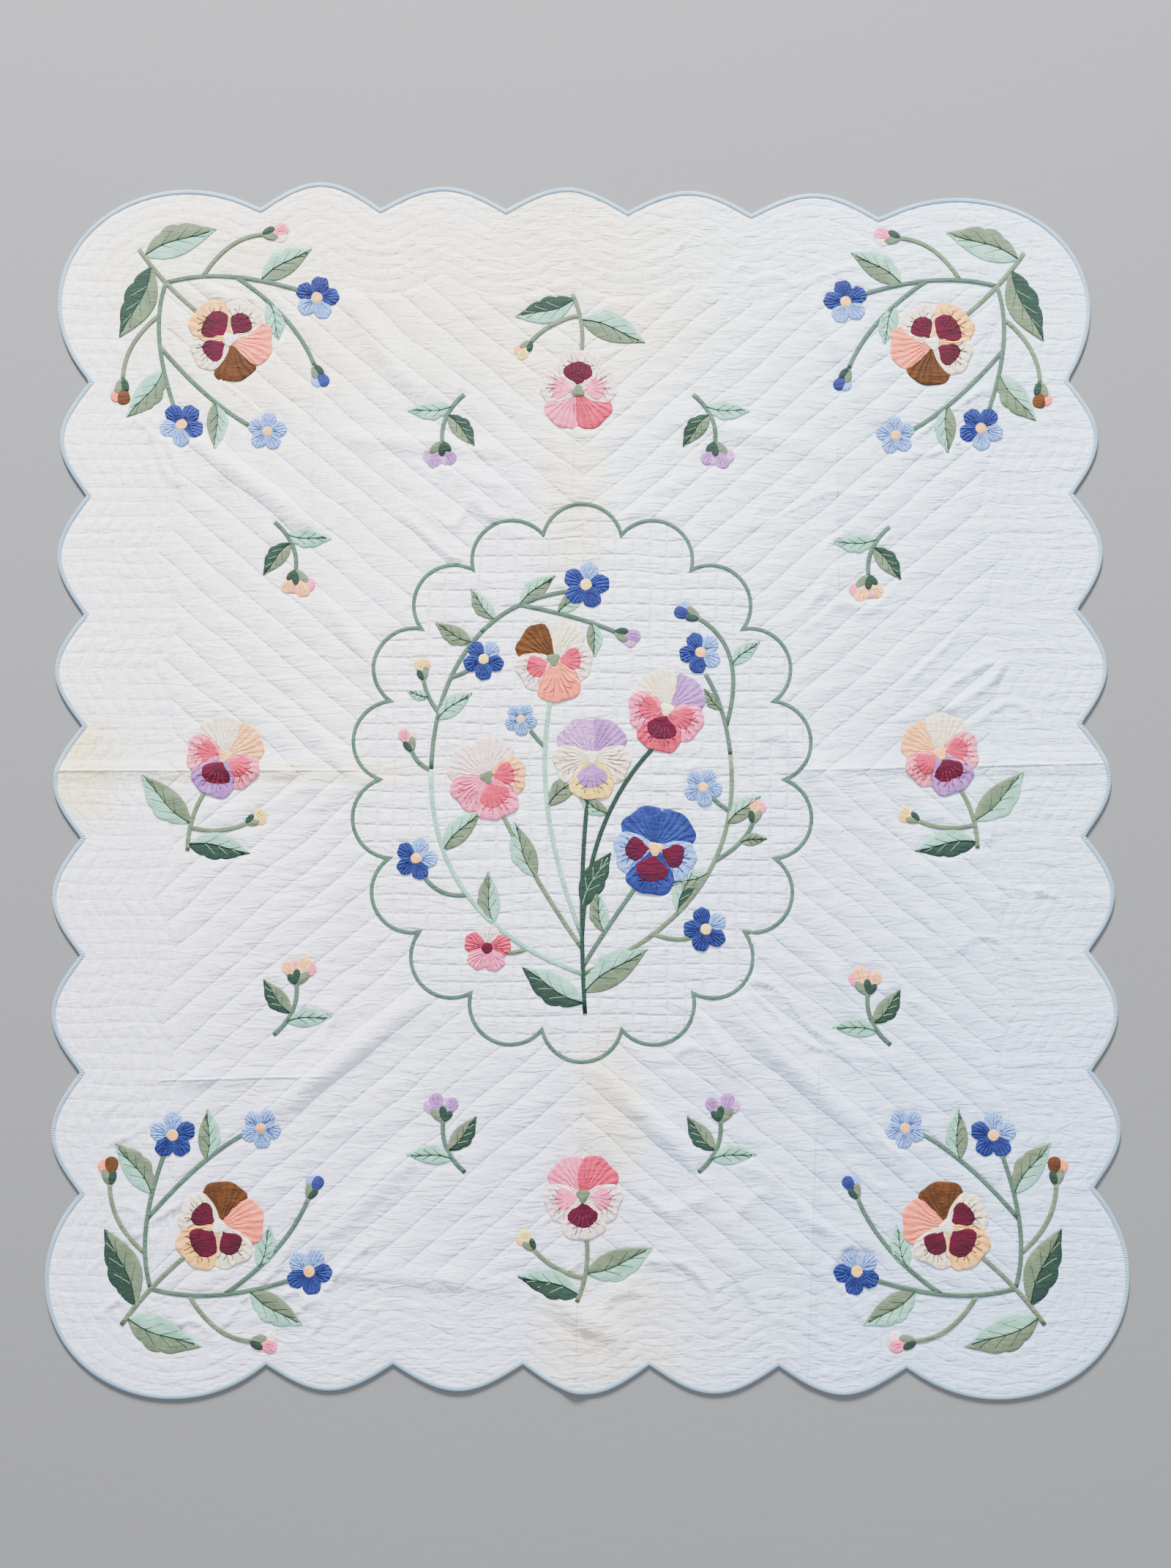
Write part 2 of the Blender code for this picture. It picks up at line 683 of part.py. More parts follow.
def round_scallop(first, last):
    """One scallop of the ring, nearly half a circle, without its last notch."""
    half = (last - first).length / 2
    radius = (half * half + RING_RISE * RING_RISE) / (2 * RING_RISE)
    out = outward(first, last)
    centre = (first + last) / 2 + out * (RING_RISE - radius)
    sweep = 2 * math.atan2(half, radius - RING_RISE)
    shares = [step / RING_STEPS for step in range(RING_STEPS)]
    return [centre + turned(first - centre, math.degrees(sweep * t)) for t in shares]


def ring_tape(ground):
    """The green ring, laid as a band that is open inside."""
    line = ring_line()
    half = RING_TAPE_WIDTH / 2
    patch("ring_tape", ground, [inset(line, -half)], "green tape", [inset(line, half)])


def main():
    """Build the quilt."""
    clear_scene()
    outline = quilt_outline()
    ground = Ground(*quilt_body(outline))
    binding(outline)
    ring_tape(ground)
    lay_motif(ground, BOUQUET, BOUQUET_PLACE)
    for motif, places in ((SPRAY, SPRAY_PLACES), (SIDE_SPRAY, SIDE_PLACES), (SPRIG, SPRIG_PLACES)):
        for place in places:
            lay_motif(ground, motif, place)


main()
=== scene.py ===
import math
from collections import namedtuple

import bmesh
import bpy
import numpy as np
from mathutils import Matrix, Vector


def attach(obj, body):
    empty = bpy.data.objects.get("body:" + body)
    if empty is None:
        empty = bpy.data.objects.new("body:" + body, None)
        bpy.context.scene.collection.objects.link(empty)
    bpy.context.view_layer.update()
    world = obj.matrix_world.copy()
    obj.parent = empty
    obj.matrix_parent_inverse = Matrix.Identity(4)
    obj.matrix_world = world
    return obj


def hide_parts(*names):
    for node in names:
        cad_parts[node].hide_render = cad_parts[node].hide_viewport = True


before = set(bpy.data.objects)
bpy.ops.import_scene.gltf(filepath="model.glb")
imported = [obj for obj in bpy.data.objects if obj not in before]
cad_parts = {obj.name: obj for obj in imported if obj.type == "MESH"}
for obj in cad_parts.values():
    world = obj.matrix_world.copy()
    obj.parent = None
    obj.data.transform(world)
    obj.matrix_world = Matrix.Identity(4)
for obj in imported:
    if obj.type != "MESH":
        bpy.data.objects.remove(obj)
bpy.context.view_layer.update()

# Layers of the quilt, in metres
QUILT = 0.0055
RING_TAPE_WIDTH = 0.0080
STEM_WIDTH = 0.0090
EDGE_TOP = 0.0040
FULL_INSET = 0.030
BACK_REST = 0.0006

# The scalloped edge
SCALLOP_STEPS = 24
CORNER_STEPS = 72
EDGE_SHIFT = Vector((0.00143, 0.00086))
CORNER_ROUND = 0.7
Side = namedtuple("Side", "start end bow widths rises")
SIDES = (
    Side((-0.624, -1.166), (0.638, -1.172), -0.003,
         (0.250, 0.256, 0.249, 0.255, 0.252), (0.050, 0.051, 0.057, 0.054, 0.053)),
    Side((1.016, -0.821), (0.999, 0.813), 0.005,
         (0.230, 0.237, 0.231, 0.228, 0.234, 0.239, 0.235), (0.056,) * 7),
    Side((0.612, 1.159), (-0.668, 1.179), 0.005,
         (0.263, 0.256, 0.252, 0.260, 0.249), (0.047, 0.046, 0.048, 0.047, 0.055)),
    Side((-1.016, 0.810), (-0.999, -0.833), 0.006,
         (0.237, 0.245, 0.228, 0.227, 0.235, 0.233, 0.238), (0.057,) * 7),
)
Corner = namedtuple("Corner", "fullness lean")
CORNERS = (Corner(0.94, -0.035), Corner(0.84, 0.050), Corner(0.89, -0.040), Corner(0.96, 0.040))

# Soft folds left in the cloth: centre line, half width and height; the first are pressed in
FOLD_FADE = 0.6
PRESSED = 8
PRESSED_REACH = 0.015
Fold = namedtuple("Fold", "x0 y0 x1 y1 half height")
FOLDS = (
    Fold(-0.02, 1.32, -0.02, 0.50, 0.030, 0.0045),
    Fold(0.00, -0.52, -0.02, -1.40, 0.034, 0.0065),
    Fold(-1.25, 0.01, -0.42, 0.01, 0.030, 0.0050),
    Fold(0.42, 0.01, 1.25, 0.03, 0.030, 0.0045),
    Fold(-0.56, 1.05, -0.55, 0.50, 0.028, 0.0050),
    Fold(0.52, 0.70, 0.52, 0.34, 0.028, 0.0050),
    Fold(0.47, -0.55, 0.44, -1.22, 0.030, 0.0055),
    Fold(-0.86, -0.61, -0.50, -0.60, 0.030, 0.0040),
    Fold(-0.50, 1.00, -0.33, 0.78, 0.040, 0.0080),
    Fold(-0.84, 0.72, -0.52, 0.49, 0.040, 0.0080),
    Fold(-0.52, 0.37, -0.40, 0.18, 0.036, 0.0070),
    Fold(-0.66, -0.70, -0.30, -0.43, 0.045, 0.0110),
    Fold(-0.54, -0.94, -0.31, -0.73, 0.040, 0.0090),
    Fold(0.26, -0.42, 0.64, -0.79, 0.045, 0.0120),
    Fold(0.02, -0.58, 0.24, -0.78, 0.040, 0.0090),
    Fold(0.62, 0.71, 0.48, 0.98, 0.038, 0.0070),
    Fold(0.37, 0.12, 0.54, -0.07, 0.036, 0.0070),
    Fold(-0.08, -1.02, 0.09, -1.13, 0.038, 0.0090),
    Fold(-0.50, -0.98, -0.13, -1.01, 0.034, 0.0065),
    Fold(-0.53, 0.70, -0.10, 0.66, 0.032, 0.0045),
    Fold(0.12, 0.75, 0.52, 0.66, 0.032, 0.0045),
    Fold(-0.38, -1.26, -0.10, -1.27, 0.070, 0.0070),
    Fold(0.38, -1.27, 0.68, -1.26, 0.070, 0.0060),
    Fold(-1.13, -0.70, -1.13, -1.00, 0.070, 0.0060),
    Fold(-1.14, 0.13, -1.13, -0.12, 0.070, 0.0050),
)

# The face, of two widths joined at a centre seam; the cells of both meshes; their reach
CENTRE_SEAM = -0.020
FACE_CELL = 0.0056
BACK_CELL = 0.012
TUCK = 0.0045
REACH_X = 1.083
REACH_Y = 1.234

# Points of a strip that fall together in a tight notch are merged
MERGE = 0.0001

# The binding's cloth, cut before it is folded, and its section: inwards from the edge, and up
BINDING_SECTION = (
    (0.0095, 0.0030), (0.0095, 0.0050), (0.0090, 0.0057), (0.0066, 0.0061), (0.0030, 0.0060),
    (0.0006, 0.0047), (0.0000, 0.0028), (0.0006, 0.0008), (0.0030, 0.0000), (0.0090, 0.0000),
    (0.0095, 0.0009), (0.0032, 0.0012), (0.0020, 0.0026),
)

# Rows of quilting, and the relief of the cloth between them
FIELD_PITCH = 0.052
FIELD_ANGLE = math.radians(40)
GRID_PITCH = 0.0345
BORDER = 0.190
ECHO_PITCH = 0.026
CROSS_PITCH = 0.031
PUFF = 0.0030
PUFF_RUN = 0.0105
CLOSE_PUFF = 0.70
CRINKLE = 0.0012
RUMPLE = 0.0060
RING_RUMPLE = 0.35
RIDGE_WIDTH = 0.22
RIDGE_DRIFT = 0.03
WANDER = 0.0045
STITCHED_LOW = 0.0007

# Distances from a patch, from the ring's tape and from the edge at which the relief is full
CLEAR_OF_PATCH = 0.005
CLEAR_OF_TAPE = 0.002
CLEAR_OF_EDGE = (0.006, 0.022)
RUMPLES_INSIDE = (0.05, 0.15)

# Seeded unevenness: its cells across and up, and its seed; the table that it is drawn from
Uneven = namedtuple("Uneven", "across up seed")
MARKS_ACROSS = Uneven(0.07, 0.09, 11)
MARKS_UP = Uneven(0.09, 0.07, 12)
RIDGES = Uneven(0.17, 0.055, 22)
RIDGES_TURN = Uneven(0.12, 0.12, 21)
RIDGES_THERE = Uneven(0.26, 0.24, 23)
GRAIN_EDGE = Uneven(0.20, 0.20, 3)
WAVES_ACROSS = Uneven(0.055, 0.013, 5)
WAVES_UP = Uneven(0.013, 0.055, 6)
WAVES_SOFT = Uneven(0.06, 0.05, 7)
PUFFS_UNEVEN = Uneven(0.09, 0.09, 8)
TABLE = (97, 89)
TABLE_SHIFT = 40

# The ring: a scalloped oval
RING_CENTRE = Vector((0.0, -0.008))
RING_HALF = (0.409, 0.511)
RING_SCALLOPS = 18
RING_RISE = 0.064
RING_FINE = 3600
RING_STEPS = 16

# Heights over the flat top of the quilt, of patches and what lies on them, and their edges
FOOT = -0.0009
RIM = 0.0001
PATCH = 0.0012
RIM_RUN = 0.0013
TURNED_EDGE = (0.0009, 0.0022)
CROWN = 0.0004
LAYER = 0.0004
FLOWER_BASE = 0.0008
BLOTCH = 0.0005
BLOTCH_SUNK = 0.0003
TAPE_ROUND = 0.0003
THREAD_CLEAR = 0.0002
BLOSSOM_CLEAR = 0.0003
THREAD_HEIGHT = 0.0004
PATCH_CELL = 0.014

# Widths of embroidered lines
THREAD_WIDTH = 0.0019
VEIN_WIDTH = THREAD_WIDTH * 0.8
WHISKER_WIDTH = THREAD_WIDTH * 0.75
BUD_LINE_WIDTH = THREAD_WIDTH * 0.6
BLOSSOM_LINE_WIDTH = THREAD_WIDTH * 0.5

# The farthest distance that is kept, and how far around a patch it is measured
FAR = 0.05
NEAR_PATCH = 0.03

# Motifs are drawn with +Y up their stem, as in the solids
Stem = namedtuple("Stem", "on share bend_x bend_y x y cloth")
Leaf = namedtuple("Leaf", "on share heading length width right left")
Bud = namedtuple("Bud", "on heading length look")
Flower = namedtuple("Flower", "kind x y turn size look")
Motif = namedtuple("Motif", "foot stems leaves buds flowers")
Place = namedtuple("Place", "name x y turn flip look")

SPRAY = Motif(
    foot=(0.000, -0.270),
    stems=(
        Stem(None, 0.0, 0.020, -0.160, 0.000, -0.040, "sage"),
        Stem(0, 0.40, -0.100, -0.120, -0.178, 0.035, "leaf green"),
        Stem(0, 0.40, 0.110, -0.130, 0.184, 0.030, "leaf green"),
        Stem(2, 0.55, 0.125, 0.060, 0.096, 0.160, "leaf green"),
        Stem(1, 0.55, -0.130, 0.060, -0.084, 0.165, "leaf green"),
        Stem(1, 0.30, -0.150, -0.160, -0.205, -0.110, "sage"),
        Stem(2, 0.30, 0.160, -0.150, 0.215, -0.095, "sage"),
    ),
    leaves=(
        Leaf(0, 0.08, 156, 0.160, 0.066, "mint", "sage"),
        Leaf(0, 0.20, 22, 0.165, 0.066, "forest", "sage"),
        Leaf(1, 0.72, 168, 0.125, 0.054, "sage", "mint"),
        Leaf(2, 0.72, 8, 0.125, 0.054, "mint", "sage"),
        Leaf(4, 0.30, 60, 0.085, 0.040, "mint", "mint"),
        Leaf(3, 0.60, 46, 0.100, 0.044, "sage", "mint"),
    ),
    buds=(Bud(5, 140, 0.058, "pink"), Bud(6, 38, 0.058, "brown"), Bud(4, 66, 0.052, "royal")),
    flowers=(
        Flower("pansy", 0.000, 0.000, 0, 0.092, "orange pansy"),
        Flower("blue", -0.188, 0.064, 15, 0.046, "blue"),
        Flower("blue", 0.194, 0.058, -10, 0.046, "blue"),
        Flower("pale", 0.080, 0.192, 20, 0.040, "pale"),
    ),
)

SIDE_SPRAY = Motif(
    foot=(0.012, -0.205),
    stems=(
        Stem(None, 0.0, -0.022, -0.130, 0.000, -0.050, "sage"),
        Stem(0, 0.30, 0.060, -0.150, 0.098, -0.105, "sage"),
    ),
    leaves=(
        Leaf(0, 0.35, 160, 0.142, 0.060, "sage", "mint"),
        Leaf(0, 0.08, 16, 0.128, 0.054, "forest", "mint"),
    ),
    buds=(Bud(1, 48, 0.048, "yellow"),),
    flowers=(Flower("pansy", 0.000, 0.000, 0, 0.085, None),),
)

SPRIG = Motif(
    foot=(-0.012, -0.078),
    stems=(Stem(None, 0.0, 0.022, -0.020, -0.006, 0.034, "leaf green"),),
    leaves=(
        Leaf(0, 0.45, 150, 0.088, 0.040, "sage", "forest"),
        Leaf(0, 0.28, 26, 0.092, 0.038, "mint", "mint"),
    ),
    buds=(Bud(0, 78, 0.062, None), Bud(0, 128, 0.054, None)),
    flowers=(),
)

BOUQUET = Motif(
    foot=(0.006, -0.470),
    stems=(
        Stem(None, 0.0, -0.010, -0.200, 0.015, -0.010, "forest"),
        Stem(0, 0.30, -0.110, -0.040, -0.060, 0.180, "mint"),
        Stem(0, 0.30, 0.010, -0.060, 0.160, 0.080, "forest"),
        Stem(0, 0.25, -0.100, -0.200, -0.170, -0.050, "sage"),
        Stem(0, 0.18, 0.060, -0.280, 0.135, -0.180, "leaf green"),
        Stem(0, 0.15, -0.310, -0.280, -0.305, 0.020, "mint"),
        Stem(5, 1.00, -0.300, 0.200, -0.205, 0.300, "leaf green"),
        Stem(6, 1.00, -0.140, 0.370, -0.025, 0.385, "leaf green"),
        Stem(0, 0.15, 0.330, -0.250, 0.300, 0.050, "sage"),
        Stem(8, 1.00, 0.290, 0.150, 0.250, 0.215, "leaf green"),
        Stem(9, 0.30, 0.340, 0.270, 0.235, 0.330, "leaf green"),
        Stem(6, 0.60, -0.240, 0.215, -0.215, 0.232, "leaf green"),
        Stem(8, 0.80, 0.275, -0.050, 0.262, -0.035, "leaf green"),
        Stem(5, 0.50, -0.290, -0.240, -0.322, -0.190, "leaf green"),
        Stem(8, 0.25, 0.190, -0.330, 0.225, -0.315, "sage"),
        Stem(5, 1.00, -0.335, 0.030, -0.345, 0.060, "leaf green"),
        Stem(5, 0.20, -0.130, -0.350, -0.155, -0.348, "sage"),
        Stem(1, 0.75, -0.090, 0.080, -0.105, 0.100, "leaf green"),
        Stem(7, 0.50, -0.010, 0.335, 0.070, 0.300, "leaf green"),
        Stem(8, 0.60, 0.330, -0.130, 0.345, -0.085, "leaf green"),
        Stem(6, 0.35, -0.315, 0.165, -0.322, 0.205, "leaf green"),
    ),
    leaves=(
        Leaf(0, 0.04, 150, 0.145, 0.060, "mint", "forest"),
        Leaf(0, 0.08, 34, 0.155, 0.064, "sage", "mint"),
        Leaf(0, 0.42, 62, 0.125, 0.050, "forest", "forest"),
        Leaf(3, 0.50, 112, 0.120, 0.050, "sage", "mint"),
        Leaf(1, 0.50, 42, 0.100, 0.042, "sage", "sage"),
        Leaf(5, 0.35, 96, 0.105, 0.044, "mint", "sage"),
        Leaf(5, 0.70, 46, 0.110, 0.046, "sage", "mint"),
        Leaf(6, 0.30, 38, 0.090, 0.040, "mint", "mint"),
        Leaf(6, 0.90, 152, 0.085, 0.038, "sage", "sage"),
        Leaf(7, 0.50, 40, 0.095, 0.040, "sage", "mint"),
        Leaf(8, 0.75, 40, 0.088, 0.040, "sage", "mint"),
        Leaf(8, 0.55, 196, 0.085, 0.038, "mint", "sage"),
        Leaf(8, 0.36, 70, 0.095, 0.042, "forest", "mint"),
        Leaf(9, 0.50, 130, 0.055, 0.026, "sage", "sage"),
        Leaf(7, 0.20, 128, 0.080, 0.036, "mint", "sage"),
        Leaf(10, 0.45, 40, 0.075, 0.034, "mint", "mint"),
        Leaf(2, 0.55, 150, 0.070, 0.032, "sage", "mint"),
        Leaf(4, 0.35, 100, 0.085, 0.038, "mint", "sage"),
        Leaf(18, 0.35, 34, 0.075, 0.034, "mint", "sage"),
        Leaf(18, 0.70, -84, 0.070, 0.032, "sage", "mint"),
        Leaf(19, 0.50, 8, 0.055, 0.026, "sage", "sage"),
        Leaf(20, 0.50, 165, 0.045, 0.022, "mint", "mint"),
    ),
    buds=(Bud(10, 152, 0.056, "royal"), Bud(15, 106, 0.052, "pink"), Bud(18, -22, 0.056, "lilac"),
          Bud(19, 74, 0.052, "peach"), Bud(20, 95, 0.048, "yellow")),
    flowers=(
        Flower("pansy", -0.058, 0.244, 12, 0.086, "brown pansy"),
        Flower("pansy", 0.172, 0.142, -16, 0.086, "pink pansy"),
        Flower("pansy", 0.020, 0.046, 0, 0.086, "cream pansy"),
        Flower("pansy", -0.192, 0.004, 22, 0.086, "peach pansy"),
        Flower("pansy", 0.148, -0.140, -10, 0.092, "blue pansy"),
        Flower("pink", -0.190, -0.340, 30, 0.048, "pink"),
        Flower("blue", -0.200, 0.244, 0, 0.042, "royal"),
        Flower("blue", 0.008, 0.397, 24, 0.048, "royal"),
        Flower("blue", 0.240, 0.258, -12, 0.043, "blue"),
        Flower("pale", 0.244, -0.016, 8, 0.039, "pale"),
        Flower("blue", -0.334, -0.160, 18, 0.043, "blue"),
        Flower("blue", 0.248, -0.302, -20, 0.045, "royal"),
        Flower("pale", -0.124, 0.122, 5, 0.033, "pale"),
    ),
)

PLACES = (
    (BOUQUET, Place("bouquet", RING_CENTRE.x, RING_CENTRE.y, 0, False, None)),
    (SPRAY, Place("spray_head_left", -0.725, 0.900, -135, False, None)),
    (SPRAY, Place("spray_head_right", 0.722, 0.892, 135, True, None)),
    (SPRAY, Place("spray_foot_right", 0.722, -0.896, 45, False, None)),
    (SPRAY, Place("spray_foot_left", -0.718, -0.896, -45, True, None)),
    (SIDE_SPRAY, Place("side_head", -0.008, 0.790, 180, False, "rose pansy")),
    (SIDE_SPRAY, Place("side_foot", 0.002, -0.835, 0, True, "rose pansy")),
    (SIDE_SPRAY, Place("side_left", -0.722, 0.040, -24, False, "lilac pansy")),
    (SIDE_SPRAY, Place("side_right", 0.724, 0.045, 24, True, "lilac pansy")),
    (SPRIG, Place("sprig_head_left", -0.280, 0.716, 160, False, "lilac")),
    (SPRIG, Place("sprig_head_right", 0.266, 0.716, -160, True, "lilac")),
    (SPRIG, Place("sprig_left_upper", -0.590, 0.450, 200, True, "peach")),
    (SPRIG, Place("sprig_right_upper", 0.590, 0.440, -200, False, "peach")),
    (SPRIG, Place("sprig_left_lower", -0.578, -0.450, -20, False, "peach")),
    (SPRIG, Place("sprig_right_lower", 0.578, -0.470, 20, True, "peach")),
    (SPRIG, Place("sprig_foot_left", -0.270, -0.721, 20, True, "lilac")),
    (SPRIG, Place("sprig_foot_right", 0.269, -0.721, -20, False, "lilac")),
)

# Forms of petals: the gaps between them, their lengths and widths, and the order of sewing
PETAL_DEPTH = {"pansy": 0.22, "blue": 0.34, "pale": 0.34, "pink": 0.30}
PETAL_ROUND = 0.7
BLOTCH_WIDTH = {0: 0.56, 1: 0.46, 4: 0.46}
PETAL_STEPS = 40
PETAL_WIDTH = {"pansy": 0.98, "blue": 0.76, "pale": 0.76, "pink": 0.84}
FLOWER_SLOTS = {"pansy": "pansy_prints", "pink": "pink_print", "pale": "light_blue_print",
                "blue": "royal_blue_print"}
EVEN_PETALS = (1.0,) * 5
PANSY_PETALS = (1.04, 0.93, 0.98, 0.98, 0.93)
SEWN_ORDER = (2, 3, 1, 4, 0)
WHISKERED = (0, 1, 4)

# Whiskers of a pansy: shares of a petal round, of its length at both ends, and the drift round
WHISKERS = (
    (-0.26, 0.44, 0.74, -0.16), (-0.13, 0.42, 0.84, -0.04), (-0.155, 0.64, 0.76, -0.11),
    (0.00, 0.46, 0.80, 0.05), (0.13, 0.42, 0.86, 0.03), (0.14, 0.60, 0.76, 0.13),
    (0.26, 0.44, 0.72, 0.16),
)

# Lines on a petal of a small flower: shares of a petal round, and of its length
BLOSSOM_LINES = ((-0.16, 0.70), (0.0, 0.80), (0.16, 0.70))

# Forms of leaves: how full they are near the root, how far they bend, and their wavy edges
LEAF_BELLY = 0.85
LEAF_BEND = 0.045
LEAF_LOBES = 3.6
LEAF_STEPS = 40
VEIN_STARTS = (0.26, 0.46, 0.64)

# Parts of a bud in the order of sewing, as shares of its length: two petals, then two leaves
BudPart = namedtuple("BudPart", "length width lean blunt")
BUD_PETALS = (BudPart(0.62, 0.44, -20, 0.0), BudPart(0.68, 0.46, 16, 0.0))
BUD_CUP = (BudPart(0.60, 0.30, -16, 0.3), BudPart(0.50, 0.28, 24, 0.3))
BUD_START = 0.22
BUD_FOOT = 0.06

# Cloths of the petals, from the one that points down the stem, anticlockwise; the petals
# with blotches, their cloth, the whiskers' thread, and the cloth of the centre
Bloom = namedtuple("Bloom", "petals blotched blotch whisker centre")
BLOOMS = {
    "orange pansy": Bloom(("light orange", "cream", "brown", "salmon", "cream"),
                          (0, 1, 4), "burgundy", "dark thread", "white speckle"),
    "rose pansy": Bloom(("blush", "blush", "pink", "rose", "blush"),
                        (0, 1, 4), "burgundy", "mauve thread", "sage"),
    "lilac pansy": Bloom(("lilac", "pink speckle", "peach", "cream", "pink speckle"),
                         (0, 1, 4), "burgundy", "rose thread", "light orange"),
    "brown pansy": Bloom(("salmon", "blush", "cream", "brown", "blush"),
                         (1, 4), "rose", "rose thread", "sage"),
    "pink pansy": Bloom(("rose", "pink", "lilac", "cream", "pink"),
                        (0, 1, 4), "burgundy", "mauve thread", "cream"),
    "cream pansy": Bloom(("yellow", "cream", "lilac", "lilac speckle", "cream"),
                         (0,), "lilac", "mauve thread", "white speckle"),
    "peach pansy": Bloom(("pink", "peach", "blush", "blush", "pink"),
                         (0, 1), "rose", "rose thread", "sage"),
    "blue pansy": Bloom(("royal", "light blue", "royal", "royal", "light blue"),
                        (0, 1, 4), "burgundy", "navy thread", "light orange"),
    "blue": Bloom(("royal", "light blue", "light blue", "royal", "royal"),
                  (), None, "navy thread", "light orange"),
    "royal": Bloom(("royal", "royal", "light blue", "royal", "royal"),
                   (), None, "navy thread", "yellow"),
    "pale": Bloom(("light blue",) * 5, (), None, "navy thread", "light orange"),
    "pink": Bloom(("pink", "rose", "blush", "rose", "pink"),
                  (), None, "mauve thread", "burgundy"),
}
BUD_CLOTHS = {
    "pink": ("blush", "pink"),
    "brown": ("salmon", "brown"),
    "royal": ("light blue", "royal"),
    "yellow": ("light orange", "yellow"),
    "lilac": ("lilac speckle", "lilac"),
    "peach": ("pink", "peach"),
}
BUD_LEAVES = ("sage", "forest")

# Cloths and threads: two colours as they are seen, how they are printed, and how strongly
Print = namedtuple("Print", "ground figure pattern strength")
PRINTS = {
    "sage": Print((140, 162, 130), (114, 140, 106), "mottled", 0.5),
    "leaf green": Print((108, 142, 122), (88, 122, 104), "mottled", 0.5),
    "mint": Print((180, 214, 202), (150, 196, 184), "mottled", 0.5),
    "forest": Print((50, 80, 68), (74, 106, 88), "speckled", 0.4),
    "light orange": Print((255, 212, 152), (246, 190, 120), "mottled", 0.5),
    "cream": Print((252, 240, 222), (246, 224, 198), "mottled", 0.5),
    "salmon": Print((253, 176, 144), (246, 156, 122), "mottled", 0.5),
    "peach": Print((254, 208, 168), (250, 188, 148), "mottled", 0.5),
    "yellow": Print((250, 228, 165), (240, 205, 120), "mottled", 0.5),
    "brown": Print((124, 76, 36), (92, 54, 26), "mottled", 0.7),
    "burgundy": Print((112, 16, 56), (84, 8, 40), "mottled", 0.6),
    "rose": Print((218, 82, 124), (198, 60, 106), "mottled", 0.5),
    "pink": Print((250, 168, 198), (240, 138, 172), "mottled", 0.5),
    "blush": Print((252, 232, 228), (236, 176, 184), "speckled", 0.6),
    "pink speckle": Print((240, 176, 190), (222, 96, 124), "speckled", 0.8),
    "lilac": Print((198, 156, 210), (176, 128, 192), "mottled", 0.5),
    "lilac speckle": Print((214, 184, 220), (170, 120, 180), "speckled", 0.8),
    "royal": Print((58, 78, 168), (40, 56, 140), "mottled", 0.7),
    "light blue": Print((170, 197, 240), (126, 160, 222), "speckled", 0.6),
    "white speckle": Print((248, 244, 236), (230, 205, 165), "speckled", 0.6),
    "ring green": Print((106, 144, 124), (86, 122, 104), "mottled", 0.5),
    "dark thread": Print((46, 52, 52), (34, 38, 40), "twisted", 0.5),
    "green thread": Print((48, 74, 62), (36, 58, 48), "twisted", 0.5),
    "light thread": Print((176, 200, 180), (150, 176, 156), "twisted", 0.5),
    "mauve thread": Print((134, 74, 108), (112, 54, 88), "twisted", 0.5),
    "rose thread": Print((186, 70, 98), (160, 52, 80), "twisted", 0.5),
    "navy thread": Print((34, 44, 108), (26, 32, 88), "twisted", 0.5),
}

# Materials: how deep colours are made, their shine, pitches of weave and ribs, and creases
DEEPENED = 0.52
CLOTH_SHINE = 0.18
SHEEN_ROUGHNESS = 0.6
PRINT_WEAVE = 0.0011
RIB_PITCH = 0.0046
FACE_WEAVE = 0.0012
CREASE_PITCH = 0.0150
CREASE_LENGTH = 0.060

# Colours of the plain materials, as pairs that are mixed, and tints of all materials; the painted
# shade tints darken rows, crinkles, creases and folds, and the face round patches
COTTON = ((248, 248, 254), (216, 232, 254))
BACKING = ((236, 234, 236), (228, 226, 226))
BINDING_AND_RIB_SHADE = ((160, 186, 203), (202, 217, 226))
FLOOR = ((163, 164, 167), (157, 158, 162))
FOOT_TINT = (228, 230, 252)
YELLOWED = (243, 228, 196)
PAINTED_ROW_SHADE = (186, 188, 204)
PAINTED_CREASE_SHADE = (186, 190, 212)
PAINTED_PATCH_SHADOW = (190, 188, 196)
CLOUDY_SHADE = (225, 222, 220)
FINE_SHADE = (205, 200, 198)
PAINTED_FOLD_SHADE = (200, 196, 206)

# Depths of the finest relief
COTTON_RELIEF = 0.0024
BACKING_RELIEF = 0.0022
BINDING_RELIEF = 0.0010
PRINT_RELIEF = 0.0012
FLOOR_RELIEF = 0.0004

# Where the white cotton has yellowed: the middle, half width and half height of soft spots
DARK_STAIN = (-1.04, 0.01, 0.16, 0.16)
LIGHT_STAINS = (
    (-0.10, 1.02, 0.55, 0.42), (-0.65, 1.00, 0.50, 0.40), (0.06, -1.12, 0.20, 0.22),
    (-0.02, 0.62, 0.10, 0.40), (-0.60, 0.01, 0.55, 0.035), (0.05, -0.68, 0.10, 0.25),
)

# The floor, the lights and the camera, in metres, watts and degrees; the lens in millimetres
FLOOR_HALF = 9.0
FLOOR_LEVEL = -0.0006
Lamp = namedtuple("Lamp", "name place size power colour")
LAMPS = (
    Lamp("key_light", (-0.9, 8.8, 4.4), 2.6, 5100, (1.0, 0.985, 0.975)),
    Lamp("fill_light", (0.8, -0.6, 4.2), 3.5, 80, (0.94, 0.97, 1.0)),
)
GLOW = (0.93, 0.96, 1.0, 1.0)
GLOW_STRENGTH = 0.64
CAMERA_OVER = (0.007, -0.017)
CAMERA_TILT = 3.8
CAMERA_DISTANCE = 3.085
FOCAL_LENGTH = 35.0
SENSOR_WIDTH = 36.0

# Outlines of all that is sewn on the face, which lies flat under them
covered = []


# Flat forms

def outward(start, end):
    """Unit vector to the right of a line, which is out of a loop that runs anticlockwise."""
    way = (end - start).normalized()
    return Vector((way.y, -way.x))


def turned(point, degrees):
    """A flat point turned about the origin."""
    angle = math.radians(degrees)
    across, up = math.cos(angle), math.sin(angle)
    return Vector((point.x * across - point.y * up, point.x * up + point.y * across))


